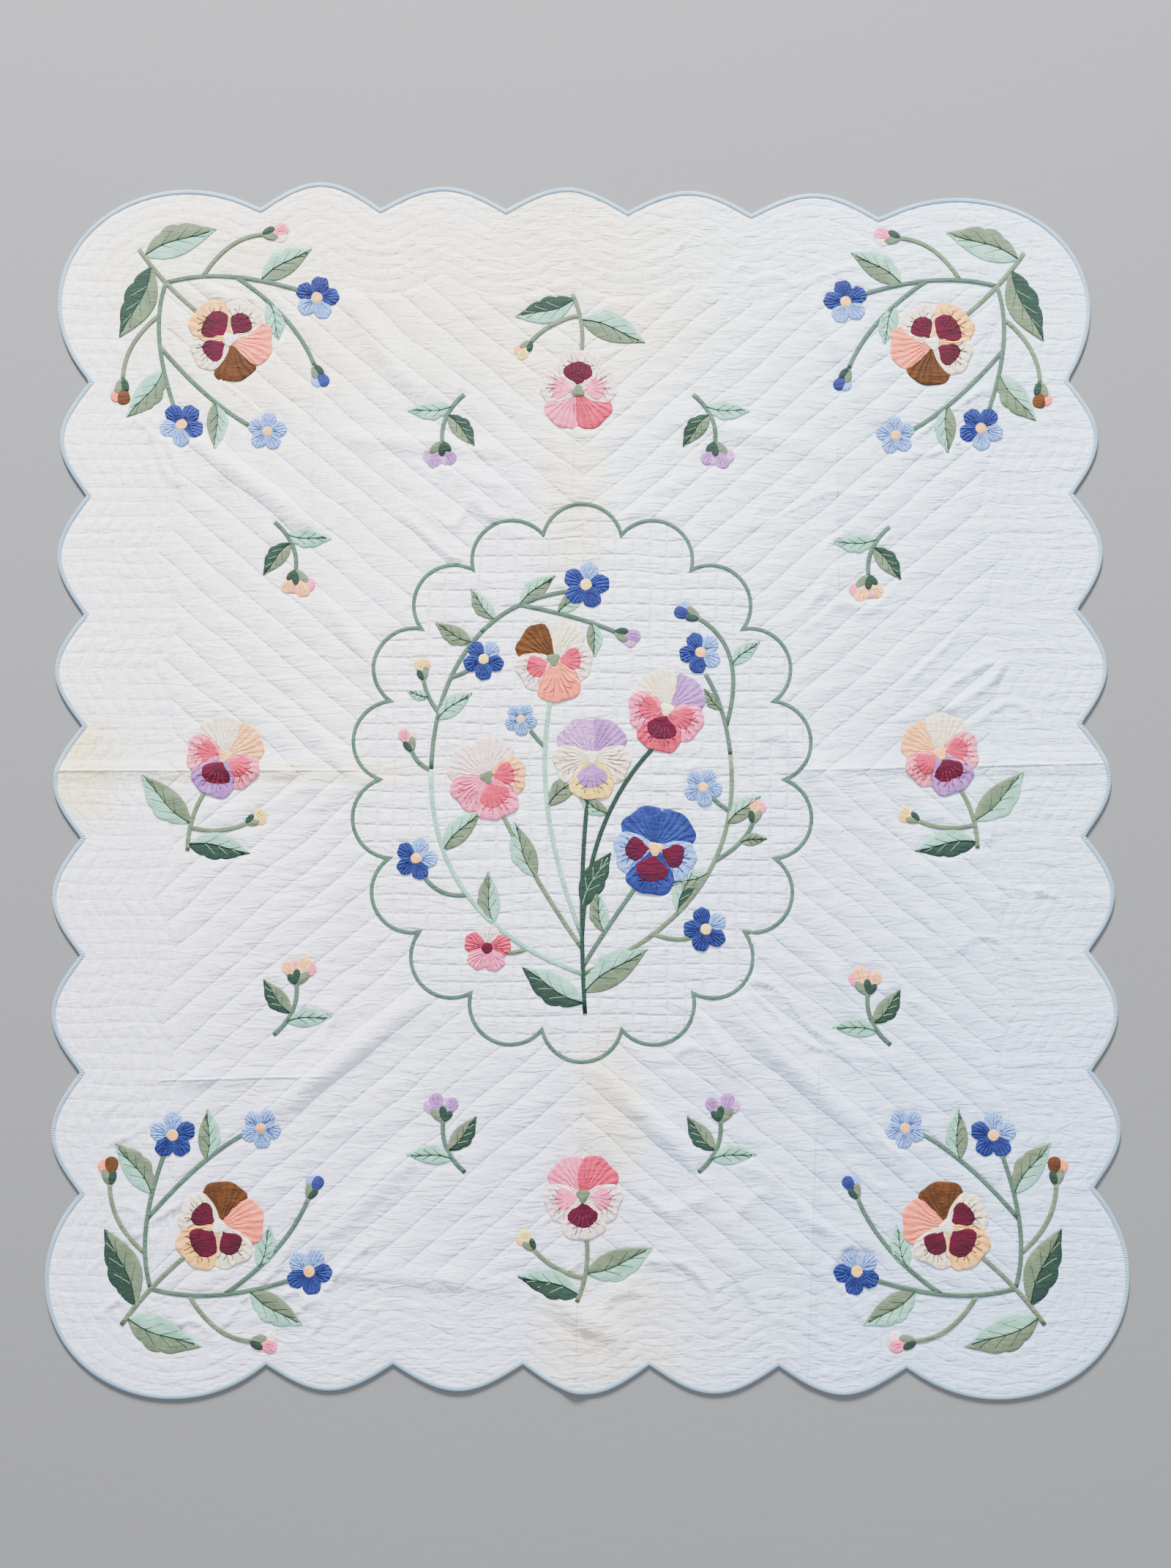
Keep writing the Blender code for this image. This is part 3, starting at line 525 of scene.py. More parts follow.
def off_line(point, root, tip):
    """Angle at the root, between its line to the tip and its line to a point."""
    way, out = tip - root, point - root
    return math.atan2(way.cross(out), way.dot(out))


def bezier(start, bend, end, share):
    """Point on a single bend."""
    return start.lerp(bend, share).lerp(bend.lerp(end, share), share)


def shares(steps):
    """Even shares from 0 to 1, both included."""
    return [step / steps for step in range(steps + 1)]


def angles_round(steps):
    """Even angles, once round."""
    return [2 * math.pi * t for t in shares(steps)[:-1]]


def flat_places(points):
    """The x and the y of some points."""
    return np.array([p.x for p in points]), np.array([p.y for p in points])


def side_notches(side):
    """Notches of one side, spaced by its scallops and bowed out in the middle."""
    start, end = Vector(side.start), Vector(side.end)
    out = outward(start, end)
    runs = [sum(side.widths[:count]) / sum(side.widths) for count in range(len(side.widths) + 1)]
    return [start.lerp(end, t) + out * side.bow * math.sin(math.pi * t) for t in runs]


def scallop(start, end, rise):
    """Points of one scallop, without its last notch."""
    out = outward(start, end)
    run = shares(SCALLOP_STEPS)[:-1]
    return [start.lerp(end, t) + out * rise * math.sin(math.pi * t) for t in run]


def corner_scallop(start, end, corner):
    """Points of a big corner scallop, nearly half a circle, without its last notch."""
    middle = (start + end) / 2
    points = []
    for t in shares(CORNER_STEPS)[:-1]:
        angle = math.pi * t
        swell = 1 - (1 - corner.fullness) * math.sin(angle) ** CORNER_ROUND
        swell += corner.lean * math.sin(2 * angle)
        points.append(middle + turned(start - middle, math.degrees(angle)) * swell)
    return points


def quilt_outline():
    """The scalloped edge, anticlockwise from the foot's first notch."""
    notches = [side_notches(side) for side in SIDES]
    points = []
    for index, side in enumerate(SIDES):
        own = notches[index]
        for first, last, rise in zip(own, own[1:], side.rises):
            points += scallop(first, last, rise)
        points += corner_scallop(own[-1], notches[(index + 1) % len(SIDES)][0], CORNERS[index])
    return [p + EDGE_SHIFT for p in points]


def round_scallop(first, last):
    """One scallop of the ring, nearly half a circle, without its last notch."""
    half = (last - first).length / 2
    radius = (half * half + RING_RISE * RING_RISE) / (2 * RING_RISE)
    centre = (first + last) / 2 + outward(first, last) * (RING_RISE - radius)
    sweep = math.degrees(2 * math.atan2(half, radius - RING_RISE))
    return [centre + turned(first - centre, sweep * t) for t in shares(RING_STEPS)[:-1]]


def ring_line():
    """Centre line of the ring: equal scallops around an oval."""
    angles = [2 * math.pi * t for t in shares(RING_FINE)]
    oval = [Vector((RING_HALF[0] * math.sin(a), RING_HALF[1] * math.cos(a))) for a in angles]
    runs = np.cumsum([0.0] + [(b - a).length for a, b in zip(oval, oval[1:])])
    pitch = runs[-1] / RING_SCALLOPS
    wanted = [(number + 0.5) * pitch for number in range(RING_SCALLOPS)]
    notches = [oval[int(np.searchsorted(runs, run))] for run in wanted][::-1]
    line = []
    for first, last in zip(notches, notches[1:] + notches[:1]):
        line += round_scallop(first, last)
    return [p + RING_CENTRE for p in line]


def placed(loop, place):
    """Points of a motif where the motif lies, kept anticlockwise when it is flipped."""
    flip = -1 if place.flip else 1
    points = [turned(Vector((p.x * flip, p.y)), place.turn) for p in loop]
    points = [p + Vector((place.x, place.y)) for p in points]
    return points[::-1] if place.flip else points


def stem_curves(motif):
    """Start, bend and end of each stem."""
    curves = []
    for stem in motif.stems:
        start = Vector(motif.foot) if stem.on is None else bezier(*curves[stem.on], stem.share)
        curves.append((start, Vector((stem.bend_x, stem.bend_y)), Vector((stem.x, stem.y))))
    return curves


def ribbon(points, width):
    """Outline of a strip along some points."""
    ways = [(b - a).normalized() for a, b in zip(points, points[1:])]
    ways = [ways[0]] + [(a + b).normalized() for a, b in zip(ways, ways[1:])] + [ways[-1]]
    sides = [Vector((w.y, -w.x)) * width / 2 for w in ways]
    right = [p + s for p, s in zip(points, sides)]
    left = [p - s for p, s in zip(points, sides)]
    return right + left[::-1]


# Heights of the cloth

def smooth(low, high, value):
    """Rise from 0 to 1 between two values, gentle at both ends."""
    share = np.clip((value - low) / (high - low), 0, 1)
    return share * share * (3 - 2 * share)


def beside(fold, x, y):
    """How far along a fold flat points lie, from 0 to 1, and how far to one side of it."""
    dx, dy = fold.x1 - fold.x0, fold.y1 - fold.y0
    length = math.hypot(dx, dy)
    share = ((x - fold.x0) * dx + (y - fold.y0) * dy) / length ** 2
    return share, ((x - fold.x0) * dy - (y - fold.y0) * dx) / length


def lift(x, y):
    """Height of the quilt's underside above the surface, as in the solids."""
    total = np.zeros_like(x)
    for fold in FOLDS:
        share, away = beside(fold, x, y)
        across = np.cos(np.pi / 2 * np.clip(np.abs(away) / fold.half, 0, 1)) ** 2
        total += fold.height * across * np.sin(np.pi * np.clip(share, 0, 1)) ** FOLD_FADE
    return total


def pressed(x, y):
    """Creases pressed in along the long folds: distance to one side, and where they are."""
    nearest, there = np.full(x.shape, FAR), np.zeros_like(x)
    for fold in FOLDS[:PRESSED]:
        share, away = beside(fold, x, y)
        ends = smooth(0.0, 0.08, share) * smooth(1.0, 0.92, share)
        closer = (ends > 0) & (np.abs(away) < np.abs(nearest))
        nearest = np.where(closer, away, nearest)
        there = np.where(closer & (np.abs(away) < PRESSED_REACH), ends, there)
    return nearest, there


def reach_to(x, y, loop):
    """Distance of flat points to a loop, positive inside it, and the nearest points on it."""
    best = np.full(x.shape, np.inf)
    near_x, near_y = np.zeros_like(x), np.zeros_like(y)
    inner = np.zeros(x.shape, bool)
    for start, end in zip(loop, loop[1:] + loop[:1]):
        way = end - start
        share = ((x - start.x) * way.x + (y - start.y) * way.y) / way.length_squared
        share = np.clip(share, 0, 1)
        on_x, on_y = start.x + share * way.x, start.y + share * way.y
        away = (x - on_x) ** 2 + (y - on_y) ** 2
        closer = away < best
        best = np.where(closer, away, best)
        near_x, near_y = np.where(closer, on_x, near_x), np.where(closer, on_y, near_y)
        rise = way.y if way.y else 1e-9
        inner ^= ((start.y > y) != (end.y > y)) & (x < start.x + (y - start.y) * way.x / rise)
    return np.sqrt(best) * np.where(inner, 1, -1), near_x, near_y


def outside_patches(x, y):
    """Distance outside the nearest patch, up to a few centimetres, and 0 or less under one."""
    away = np.full(x.shape, FAR)
    for loop in covered:
        across, up = flat_places(loop)
        near_x = (x > across.min() - NEAR_PATCH) & (x < across.max() + NEAR_PATCH)
        near_y = (y > up.min() - NEAR_PATCH) & (y < up.max() + NEAR_PATCH)
        near = np.nonzero(near_x & near_y)[0]
        if len(near):
            away[near] = np.minimum(away[near], -reach_to(x[near], y[near], loop)[0])
    return away


def crinkle(x, y, kind):
    """Smooth seeded unevenness from -1 to 1."""
    table = np.random.default_rng(kind.seed).uniform(-1, 1, TABLE)
    u, v = x / kind.across + TABLE_SHIFT, y / kind.up + TABLE_SHIFT
    column, row = np.floor(u).astype(int), np.floor(v).astype(int)
    right, above = smooth(0, 1, u - column), smooth(0, 1, v - row)
    columns = (column % TABLE[0], (column + 1) % TABLE[0])
    rows = (row % TABLE[1], (row + 1) % TABLE[1])
    near, far = [table[columns[0], r] * (1 - right) + table[columns[1], r] * right for r in rows]
    return near * (1 - above) + far * above


def to_row(value, pitch):
    """Distance to the nearest of some even rows."""
    return np.abs(value / pitch - np.round(value / pitch)) * pitch


def wandered(x, y):
    """Places as a hand quilter would mark them, off by a few millimetres."""
    return x + WANDER * crinkle(x, y, MARKS_ACROSS), y + WANDER * crinkle(x, y, MARKS_UP)


def across_rows(x, y):
    """How far across the field's slanting rows a point is, in its quarter of the quilt."""
    return abs(y) * math.cos(FIELD_ANGLE) - abs(x) * math.sin(FIELD_ANGLE)


def nearest_row(x, y, edge, ring, cover):
    """Distance to the nearest row of quilting, or to the edge of a patch."""
    field = to_row(across_rows(x, y), FIELD_PITCH)
    grid = np.minimum(to_row(x, GRID_PITCH), to_row(y, GRID_PITCH))
    upright = REACH_X - np.abs(x) < REACH_Y - np.abs(y)
    border = np.minimum(to_row(edge, ECHO_PITCH), to_row(np.where(upright, y, x), CROSS_PITCH))
    row = np.where(ring > 0, grid, np.where(edge < BORDER, border, field))
    row = np.minimum(row, np.abs(cover))
    row = np.minimum(row, np.abs(np.abs(ring) - RING_TAPE_WIDTH / 2))
    return np.minimum(row, np.abs(x - CENTRE_SEAM))


def rumpled(x, y):
    """Ridges of rumpled cloth, from 0 to 1; they run out to the corners, in some places only."""
    along = np.abs(y) * math.sin(FIELD_ANGLE) + np.abs(x) * math.cos(FIELD_ANGLE)
    turn = RIDGE_DRIFT * crinkle(x, y, RIDGES_TURN)
    quarter = 3 * np.sign(x) + 7 * np.sign(y)
    level = crinkle(along + turn + quarter, across_rows(x, y) + turn + quarter, RIDGES)
    there = smooth(-0.15, 0.40, crinkle(x, y, RIDGES_THERE))
    return np.clip(1 - np.abs(level) / RIDGE_WIDTH, 0, 1) ** 1.5 * there


def up_and_down(x, y):
    """Where the washed crinkles run up and down, from 0 to 1; elsewhere they run across."""
    left = smooth(-0.70, -0.88, x + 0.04 * crinkle(x, y, GRAIN_EDGE))
    head_left = smooth(0.10, 0.45, y) * smooth(0.0, -0.45, x)
    return np.maximum(left, 0.7 * head_left)


def quilted(x, y, edge, ring, cover):
    """Height of the face over the underside, with its puffs between rows and its crinkles."""
    row = nearest_row(*wandered(x, y), edge, ring, cover)
    upright = up_and_down(x, y)
    waves = crinkle(x, y, WAVES_ACROSS) * (1 - upright) + crinkle(x, y, WAVES_UP) * upright
    waves += 0.6 * crinkle(x, y, WAVES_SOFT)
    puff = 1 - np.exp(-row / PUFF_RUN)
    close = (ring > 0) | (edge < BORDER)
    uneven = 1 + 0.35 * crinkle(x, y, PUFFS_UNEVEN)
    relief = PUFF * np.where(close, CLOSE_PUFF, 1.0) * puff * uneven
    relief += CRINKLE * waves * (0.4 + puff)
    rumple = RUMPLE * rumpled(x, y) * smooth(*RUMPLES_INSIDE, edge)
    relief += rumple * np.where(ring > 0, RING_RUMPLE, 1.0)
    off_tape = np.abs(ring) - RING_TAPE_WIDTH / 2
    relief *= smooth(0, CLEAR_OF_PATCH, cover) * smooth(0, CLEAR_OF_TAPE, off_tape)
    relief *= smooth(*CLEAR_OF_EDGE, edge)
    full = smooth(0, FULL_INSET, edge)
    return EDGE_TOP + (QUILT - EDGE_TOP) * full + relief - STITCHED_LOW * full


# Making meshes

def shape_mesh(name, shape):
    """A mesh from a finished shape."""
    mesh = bpy.data.meshes.new(name)
    shape.to_mesh(mesh)
    shape.free()
    return mesh


def add_piece(name, mesh, cloths, nodes, steep=-1.0):
    """An object for a finished mesh, with its cloths and the CAD nodes that it stands for.

    Faces that point up or down by more than the share in steep are shaded smooth.
    """
    for name_of_cloth in cloths:
        mesh.materials.append(cloth(name_of_cloth))
    for polygon in mesh.polygons:
        polygon.use_smooth = abs(polygon.normal.z) > steep
    made = bpy.data.objects.new(name, mesh)
    bpy.context.scene.collection.objects.link(made)
    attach(made, "root")
    if nodes:
        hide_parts(*nodes)
    return made


def coordinates(mesh):
    """The points of a mesh as rows of x, y and z."""
    flat = np.empty(len(mesh.vertices) * 3)
    mesh.vertices.foreach_get("co", flat)
    return flat.reshape(-1, 3)


def lay_on_quilt(mesh, height):
    """Let a flat mesh follow the folds of the quilt, at a height over its underside."""
    points = coordinates(mesh)
    points[:, 2] += lift(points[:, 0], points[:, 1]) + height
    mesh.vertices.foreach_set("co", points.ravel())
    mesh.update()


def keep_attribute(mesh, name, values):
    """Keep a value for each point, for the material to read."""
    layer = mesh.attributes.new(name, "FLOAT", "POINT")
    layer.data.foreach_set("value", values.astype(np.float32))


def stations(points, closed):
    """Where a section is carried along flat points: across, ahead, up and place."""
    if closed:
        befores, afters = points[-1:] + points[:-1], points[1:] + points[:1]
    else:
        befores = [points[0] * 2 - points[1]] + points[:-1]
        afters = points[1:] + [points[-1] * 2 - points[-2]]
    found = []
    for before, here, after in zip(befores, points, afters):
        first, second = outward(before, here), outward(here, after)
        across = (first + second) / (1 + first.dot(second))
        ahead = (after - before).normalized()
        columns = ((*across, 0, 0), (*ahead, 0, 0), (0, 0, 1, 0), (*here, 0, 1))
        found.append(Matrix(columns).transposed())
    return found


def grow_from(shape, edges):
    """Grow a strip of faces from some edges; returns its new points and its new edges."""
    grown = bmesh.ops.extrude_edge_only(shape, edges=edges)["geom"]
    verts = [item for item in grown if isinstance(item, bmesh.types.BMVert)]
    ends = set(verts)
    new_edges = [item for item in grown if isinstance(item, bmesh.types.BMEdge)]
    return verts, [edge for edge in new_edges if ends.issuperset(edge.verts)]


def carry(shape, section, places, closed=False):
    """Carry a section, as across and up, along its places.

    Each point keeps its number in the section, and how far it is from the nearer end.
    """
    run = shape.verts.layers.float.new("run")
    number = shape.verts.layers.int.new("section")
    corners = [Vector((across, 0, up)) for across, up in section]
    verts = [shape.verts.new(places[0] @ corner) for corner in corners]
    for index, vert in enumerate(verts):
        vert[number] = index
    edges = [shape.edges.new(pair) for pair in zip(verts, verts[1:] + verts[:1])]
    afters = places[1:] + places[:1] * closed
    steps = [(b.translation - a.translation).length for a, b in zip(places, afters)]
    first, length, total = edges, 0.0, sum(steps)
    for after, step in zip(afters, steps):
        verts, edges = grow_from(shape, edges)
        length += step
        for vert in verts:
            vert.co = after @ corners[vert[number]]
            vert[run] = min(length, total - length)
    if closed:
        bmesh.ops.remove_doubles(shape, verts=shape.verts[:], dist=MERGE)
    else:
        bmesh.ops.contextual_create(shape, geom=first)
        bmesh.ops.contextual_create(shape, geom=edges)
    bmesh.ops.recalc_face_normals(shape, faces=shape.faces[:])


def tape_section(width, base):
    """Section of a flat tape with its edges turned under, across and up."""
    half = width / 2
    top = base + PATCH
    return (
        (-half, FOOT), (-half, base + RIM), (-half * 0.86, top - TAPE_ROUND), (-half * 0.66, top),
        (half * 0.66, top), (half * 0.86, top - TAPE_ROUND), (half, base + RIM), (half, FOOT),
    )


def thread_section(width, base):
    """Section of a thread that is sunk in the cloth, across and up."""
    half, foot, top = width / 2, base - 2 * THREAD_HEIGHT, base + THREAD_HEIGHT
    return ((-half, foot), (-half * 0.6, top), (half * 0.6, top), (half, foot))


def cut_patch(loop, base, rise):
    """A patch of cloth: its edge turned under, its middle level, cut up so that it can bend."""
    shape = bmesh.new()
    under = shape.faces.new([shape.verts.new((p.x, p.y, FOOT)) for p in loop])
    grown = bmesh.ops.extrude_face_region(shape, geom=[under], use_keep_orig=True)["geom"]
    top = [item for item in grown if isinstance(item, bmesh.types.BMFace)]
    raised = [item for item in grown if isinstance(item, bmesh.types.BMVert)]
    bmesh.ops.translate(shape, verts=raised, vec=(0, 0, base + RIM - FOOT))
    for width in TURNED_EDGE:
        bmesh.ops.inset_region(shape, faces=top, thickness=width, use_boundary=True)
    for axis in (0, 1):
        low, high = min(p[axis] for p in loop), max(p[axis] for p in loop)
        for step in range(math.ceil(low / PATCH_CELL), math.floor(high / PATCH_CELL) + 1):
            place, normal = Vector((0, 0, 0)), Vector((0, 0, 0))
            place[axis], normal[axis] = step * PATCH_CELL, 1
            everything = shape.verts[:] + shape.edges[:] + shape.faces[:]
            bmesh.ops.bisect_plane(shape, geom=everything, dist=1e-6, plane_co=place,
                                   plane_no=normal)
    bmesh.ops.recalc_face_normals(shape, faces=shape.faces[:])
    round_over(shape, loop, base, rise)
    return shape


def round_over(shape, loop, base, rise):
    """Raise a patch's top from its rim, by how far each point is from the edge."""
    tops = [v for v in shape.verts if v.co.z > base]
    away = np.maximum(reach_to(*flat_places([v.co for v in tops]), loop)[0], 0)
    heights = base + RIM + (rise - RIM) * (1 - np.exp(-away / RIM_RUN))
    heights += CROWN * smooth(0, 0.02, away)
    for vert, height in zip(tops, heights):
        vert.co.z = height


class Applique:
    """A flower, or the greenery of a motif, in the making: patches and threads in one mesh."""

    def __init__(self, place):
        self.place = place
        self.shape = bmesh.new()
        self.cloths = []
        self.fans = []

    def add(self, part, name, fan=None):
        """Take in a finished patch or thread, in its cloth."""
        if name not in self.cloths:
            self.cloths.append(name)
        for face in part.faces:
            face.material_index = self.cloths.index(name)
        self.fans += [off_line(vert.co.xy, *fan) if fan else 0.0 for vert in part.verts]
        mesh = shape_mesh("patch", part)
        self.shape.from_mesh(mesh)
        bpy.data.meshes.remove(mesh)

    def patch(self, loop, name, base, fan=None, rise=PATCH):
        """Sew on a patch; a petal's cloth is gathered in a fan from its root to its tip."""
        if fan:
            fan = [placed([point], self.place)[0] for point in fan]
        self.add(cut_patch(placed(loop, self.place), base, rise), name, fan)

    def tape(self, points, width, name, base):
        """Sew on a strip of bias tape."""
        strip = bmesh.new()
        carry(strip, tape_section(width, base), stations(placed(points, self.place), False))
        self.add(strip, name)

    def thread(self, points, name, base, width=THREAD_WIDTH):
        """Embroider a line."""
        line = bmesh.new()
        carry(line, thread_section(width, base), stations(placed(points, self.place), False))
        self.add(line, name)

    def finish(self, name, slot):
        """Lay it on the quilt, in the place of its CAD node."""
        mesh = shape_mesh(name + "_patches", self.shape)
        lay_on_quilt(mesh, QUILT)
        keep_attribute(mesh, "fan", np.array(self.fans))
        return add_piece(name + "_patches", mesh, self.cloths, [name], steep=0.3)


# Leaves, buds and flowers

def rib(leaf, share):
    """Middle of a leaf at a share of its length, lying along +X and a little bent."""
    swing = LEAF_BEND * leaf.length * math.sin(math.pi * share)
    return Vector((share * leaf.length, swing + 0.05 * leaf.width * math.sin(2 * math.pi * share)))


def leaf_reach(leaf, share, side, wavy):
    """Point on a leaf's edge at a share of its length."""
    half = leaf.width / 2 * math.sin(math.pi * share ** LEAF_BELLY)
    if wavy:
        half *= 0.90 + 0.20 * abs(math.sin(math.pi * LEAF_LOBES * share)) ** 0.6
    swing = LEAF_BEND * leaf.length * math.sin(math.pi * share)
    return Vector((share * leaf.length, side * half + swing))


def leaf_half(leaf, side, wavy):
    """Outline of one half of a leaf, a little over its rib."""
    lap = Vector((0, -side * 0.0012))
    edge = [leaf_reach(leaf, t, side, wavy) for t in shares(LEAF_STEPS)]
    inner = [rib(leaf, t) + lap * math.sin(math.pi * t) for t in shares(LEAF_STEPS)[1:-1]]
    loop = edge + inner[::-1]
    return loop if side < 0 else loop[::-1]


def vein(leaf, side, start):
    """Points of a vein that leaves the rib at a share of the leaf's length."""
    edge = leaf_reach(leaf, min(start + 0.20, 0.95), side, False)
    tip = rib(leaf, start + 0.17).lerp(edge, 0.68)
    bend = rib(leaf, start).lerp(tip, 0.5) + Vector((0, -side * 0.0015))
    return [bezier(rib(leaf, start), bend, tip, t) for t in shares(4)]


def leaf_thread(*cloths):
    """The thread that shows up on a leaf's cloths."""
    return "light thread" if set(cloths) == {"forest"} else "green thread"


def sew_leaf(work, leaf, curves):
    """Two halves of a leaf, and its embroidered rib and veins."""
    base = bezier(*curves[leaf.on], leaf.share)

    def set_out(points):
        """Points of the leaf where it grows from its stem."""
        return [turned(p, leaf.heading) + base for p in points]

    halves = ((-1, leaf.right, 0.0), (1, leaf.left, LAYER))
    wavy = -1 if leaf.right == "forest" else 1
    for side, name, level in halves:
        work.patch(set_out(leaf_half(leaf, side, side == wavy)), name, level)
    middle = [rib(leaf, 0.02 + 0.88 * t) for t in shares(12)]
    work.thread(set_out(middle), leaf_thread(leaf.right, leaf.left), PATCH + LAYER)
    for side, name, level in halves:
        for start in VEIN_STARTS:
            points = set_out(vein(leaf, side, start))
            work.thread(points, leaf_thread(name), PATCH + level, VEIN_WIDTH)
    for side in (-1, 1):
        covered.append(placed(set_out(leaf_half(leaf, side, False)), work.place))


def egg(length, width, heading, base, blunt):
    """Outline of an egg shape that starts at a point and is fuller at its far end."""
    loop = []
    for angle in angles_round(28):
        along = length * (0.5 - 0.5 * math.cos(angle))
        across = -width / 2 * math.sin(angle) * (1 - (0.35 - blunt) * math.cos(angle))
        loop.append(turned(Vector((along, across)), heading) + base)
    return loop


def bud_outline(bud, end):
    """The whole bud's edge, as in the solids."""
    loop = []
    for angle in angles_round(24):
        along = bud.length * (0.42 + 0.5 * math.cos(angle))
        across = bud.length * (0.30 + 0.06 * math.cos(angle)) * math.sin(angle)
        loop.append(turned(Vector((along, across)), bud.heading) + end)
    return loop


def sew_bud(work, bud, look, curves):
    """A closed bud: two petals in a cup of two leaves, and two embroidered lines."""
    end = curves[bud.on][-1]
    size = bud.length
    ahead = turned(Vector((1, 0)), bud.heading)
    start, foot = end + ahead * size * BUD_START, end - ahead * size * BUD_FOOT
    cloths = BUD_CLOTHS[look] + BUD_LEAVES
    roots = (start, start, foot, foot)
    for level, (part, root, name) in enumerate(zip(BUD_PETALS + BUD_CUP, roots, cloths)):
        heading = bud.heading + part.lean
        loop = egg(size * part.length, size * part.width, heading, root, part.blunt)
        work.patch(loop, name, LAYER * level)
    for turn in (8, 24):
        line = [start + turned(Vector((size * (0.28 + 0.28 * t), 0)), bud.heading + turn)
                for t in shares(3)]
        work.thread(line, "mauve thread", PATCH + LAYER, BUD_LINE_WIDTH)
    covered.append(placed(bud_outline(bud, end), work.place))


def petal_size(flower, index):
    """Length of a petal from the centre."""
    sizes = PANSY_PETALS if flower.kind == "pansy" else EVEN_PETALS
    return flower.size * sizes[index]


def spoke(flower, share, reach):
    """Point of a flower at a share of petals round from its first, and a distance out."""
    return turned(Vector((0.0, -reach)), 72 * share + flower.turn) + Vector((flower.x, flower.y))


def petal(flower, index):
    """Outline of a petal: narrow at the centre, broad and slightly notched at its end."""
    size = petal_size(flower, index)
    width = size * PETAL_WIDTH[flower.kind]
    notch = 0.035 if flower.kind == "pansy" else 0.0
    loop = []
    for t in shares(PETAL_STEPS)[:-1]:
        angle = 2 * math.pi * t
        dip = notch * math.exp(-((t - 0.5) / 0.06) ** 2)
        along = size * (0.5 - 0.5 * math.cos(angle) - dip)
        across = -width / 2 * math.sin(angle) * (1 - 0.30 * math.cos(angle))
        ripple = 1 + 0.020 * math.sin(angle * 7 + index * 2) + 0.012 * math.sin(angle * 4 + index)
        point = turned(Vector((across, -along)) * ripple, 72 * index + flower.turn)
        loop.append(point + Vector((flower.x, flower.y)))
    return loop


def root_and_tip(flower, index):
    """Where a petal starts, and where it points."""
    return spoke(flower, index, 0.0), spoke(flower, index, flower.size)


def blotch(flower, index):
    """Outline of a blotch on a petal, a little away from the petal that laps it."""
    size = petal_size(flower, index)
    lean = {1: 0.10, 4: -0.10}.get(index, 0.0)
    loop = []
    for angle in angles_round(22):
        reach = size * (0.43 - 0.28 * math.cos(angle) + 0.02 * math.sin(angle * 5 + index))
        offset = -BLOTCH_WIDTH[index] * math.sin(angle) * (1 - 0.15 * math.cos(angle)) + lean
        loop.append(spoke(flower, index + offset, reach))
    return loop


def ray(flower, index, offset, inner, outer, drift):
    """Points of a line that runs out over a petal, and drifts round as it goes."""
    size = petal_size(flower, index)
    line = []
    for t in shares(5):
        reach = size * (inner + (outer - inner) * t)
        line.append(spoke(flower, index + offset + drift * t * t, reach))
    return line


def sew_petal(work, flower, bloom, index, base):
    """One petal, its cloth gathered towards its root."""
    fan = root_and_tip(flower, index)
    work.patch(petal(flower, index), bloom.petals[index], base, fan)


def sew_pansy(work, flower, bloom):
    """Five lapped petals, blotches, whiskers and a small centre."""
    bases = {index: FLOWER_BASE + LAYER * 0.6 * step for step, index in enumerate(SEWN_ORDER)}
    for index in SEWN_ORDER:
        sew_petal(work, flower, bloom, index, bases[index])
    for index in SEWN_ORDER:
        sew_markings(work, flower, bloom, index, bases[index] + PATCH + CROWN + THREAD_CLEAR)
    centre = [spoke(flower, t * 5, flower.size * (0.15 + 0.03 * math.cos(t * 6 * math.pi)))
              for t in shares(18)[:-1]]
    work.patch(centre, bloom.centre, FLOWER_BASE + LAYER * 5)


def sew_markings(work, flower, bloom, index, top):
    """A petal's blotch, if it has one, and the whiskers of the three lower petals."""
    if index in bloom.blotched:
        name = bloom.blotch if index == 0 else side_blotch(bloom)
        work.patch(blotch(flower, index), name, top - BLOTCH_SUNK, rise=BLOTCH)
        top += BLOTCH_SUNK
    if index in WHISKERED:
        for offset, inner, outer, drift in WHISKERS:
            line = ray(flower, index, offset, inner, outer, drift)
            work.thread(line, bloom.whisker, top, WHISKER_WIDTH)


def side_blotch(bloom):
    """Cloth of the blotches beside the lowest one; some blooms have another cloth there."""
    if bloom.blotch != "burgundy" or "royal" in bloom.petals or "brown" in bloom.petals:
        return bloom.blotch
    return "rose" if "lilac" in bloom.petals else "pink"


def sew_blossom(work, flower, bloom):
    """A small flower of five petals with embroidered veins and a round centre."""
    for step, index in enumerate(SEWN_ORDER):
        base = FLOWER_BASE + LAYER * 0.4 * step
        sew_petal(work, flower, bloom, index, base)
        top = base + PATCH + BLOSSOM_CLEAR
        for offset, outer in BLOSSOM_LINES:
            line = ray(flower, index, offset, 0.30, outer, offset * 0.6)
            work.thread(line, bloom.whisker, top, BLOSSOM_LINE_WIDTH)
    centre = [spoke(flower, t * 5, flower.size * 0.26) for t in shares(20)[:-1]]
    work.patch(centre, bloom.centre, FLOWER_BASE + LAYER * 2.5)


def flower_outline(flower):
    """The whole flower's edge, as in the solids."""
    depth = PETAL_DEPTH[flower.kind]
    loop = []
    for t in shares(60)[:-1]:
        share = t * 5
        bulge = abs(math.cos(math.pi * share)) ** PETAL_ROUND
        size = petal_size(flower, round(share) % 5)
        loop.append(spoke(flower, share, size * (1 - depth + depth * bulge)))
    return loop


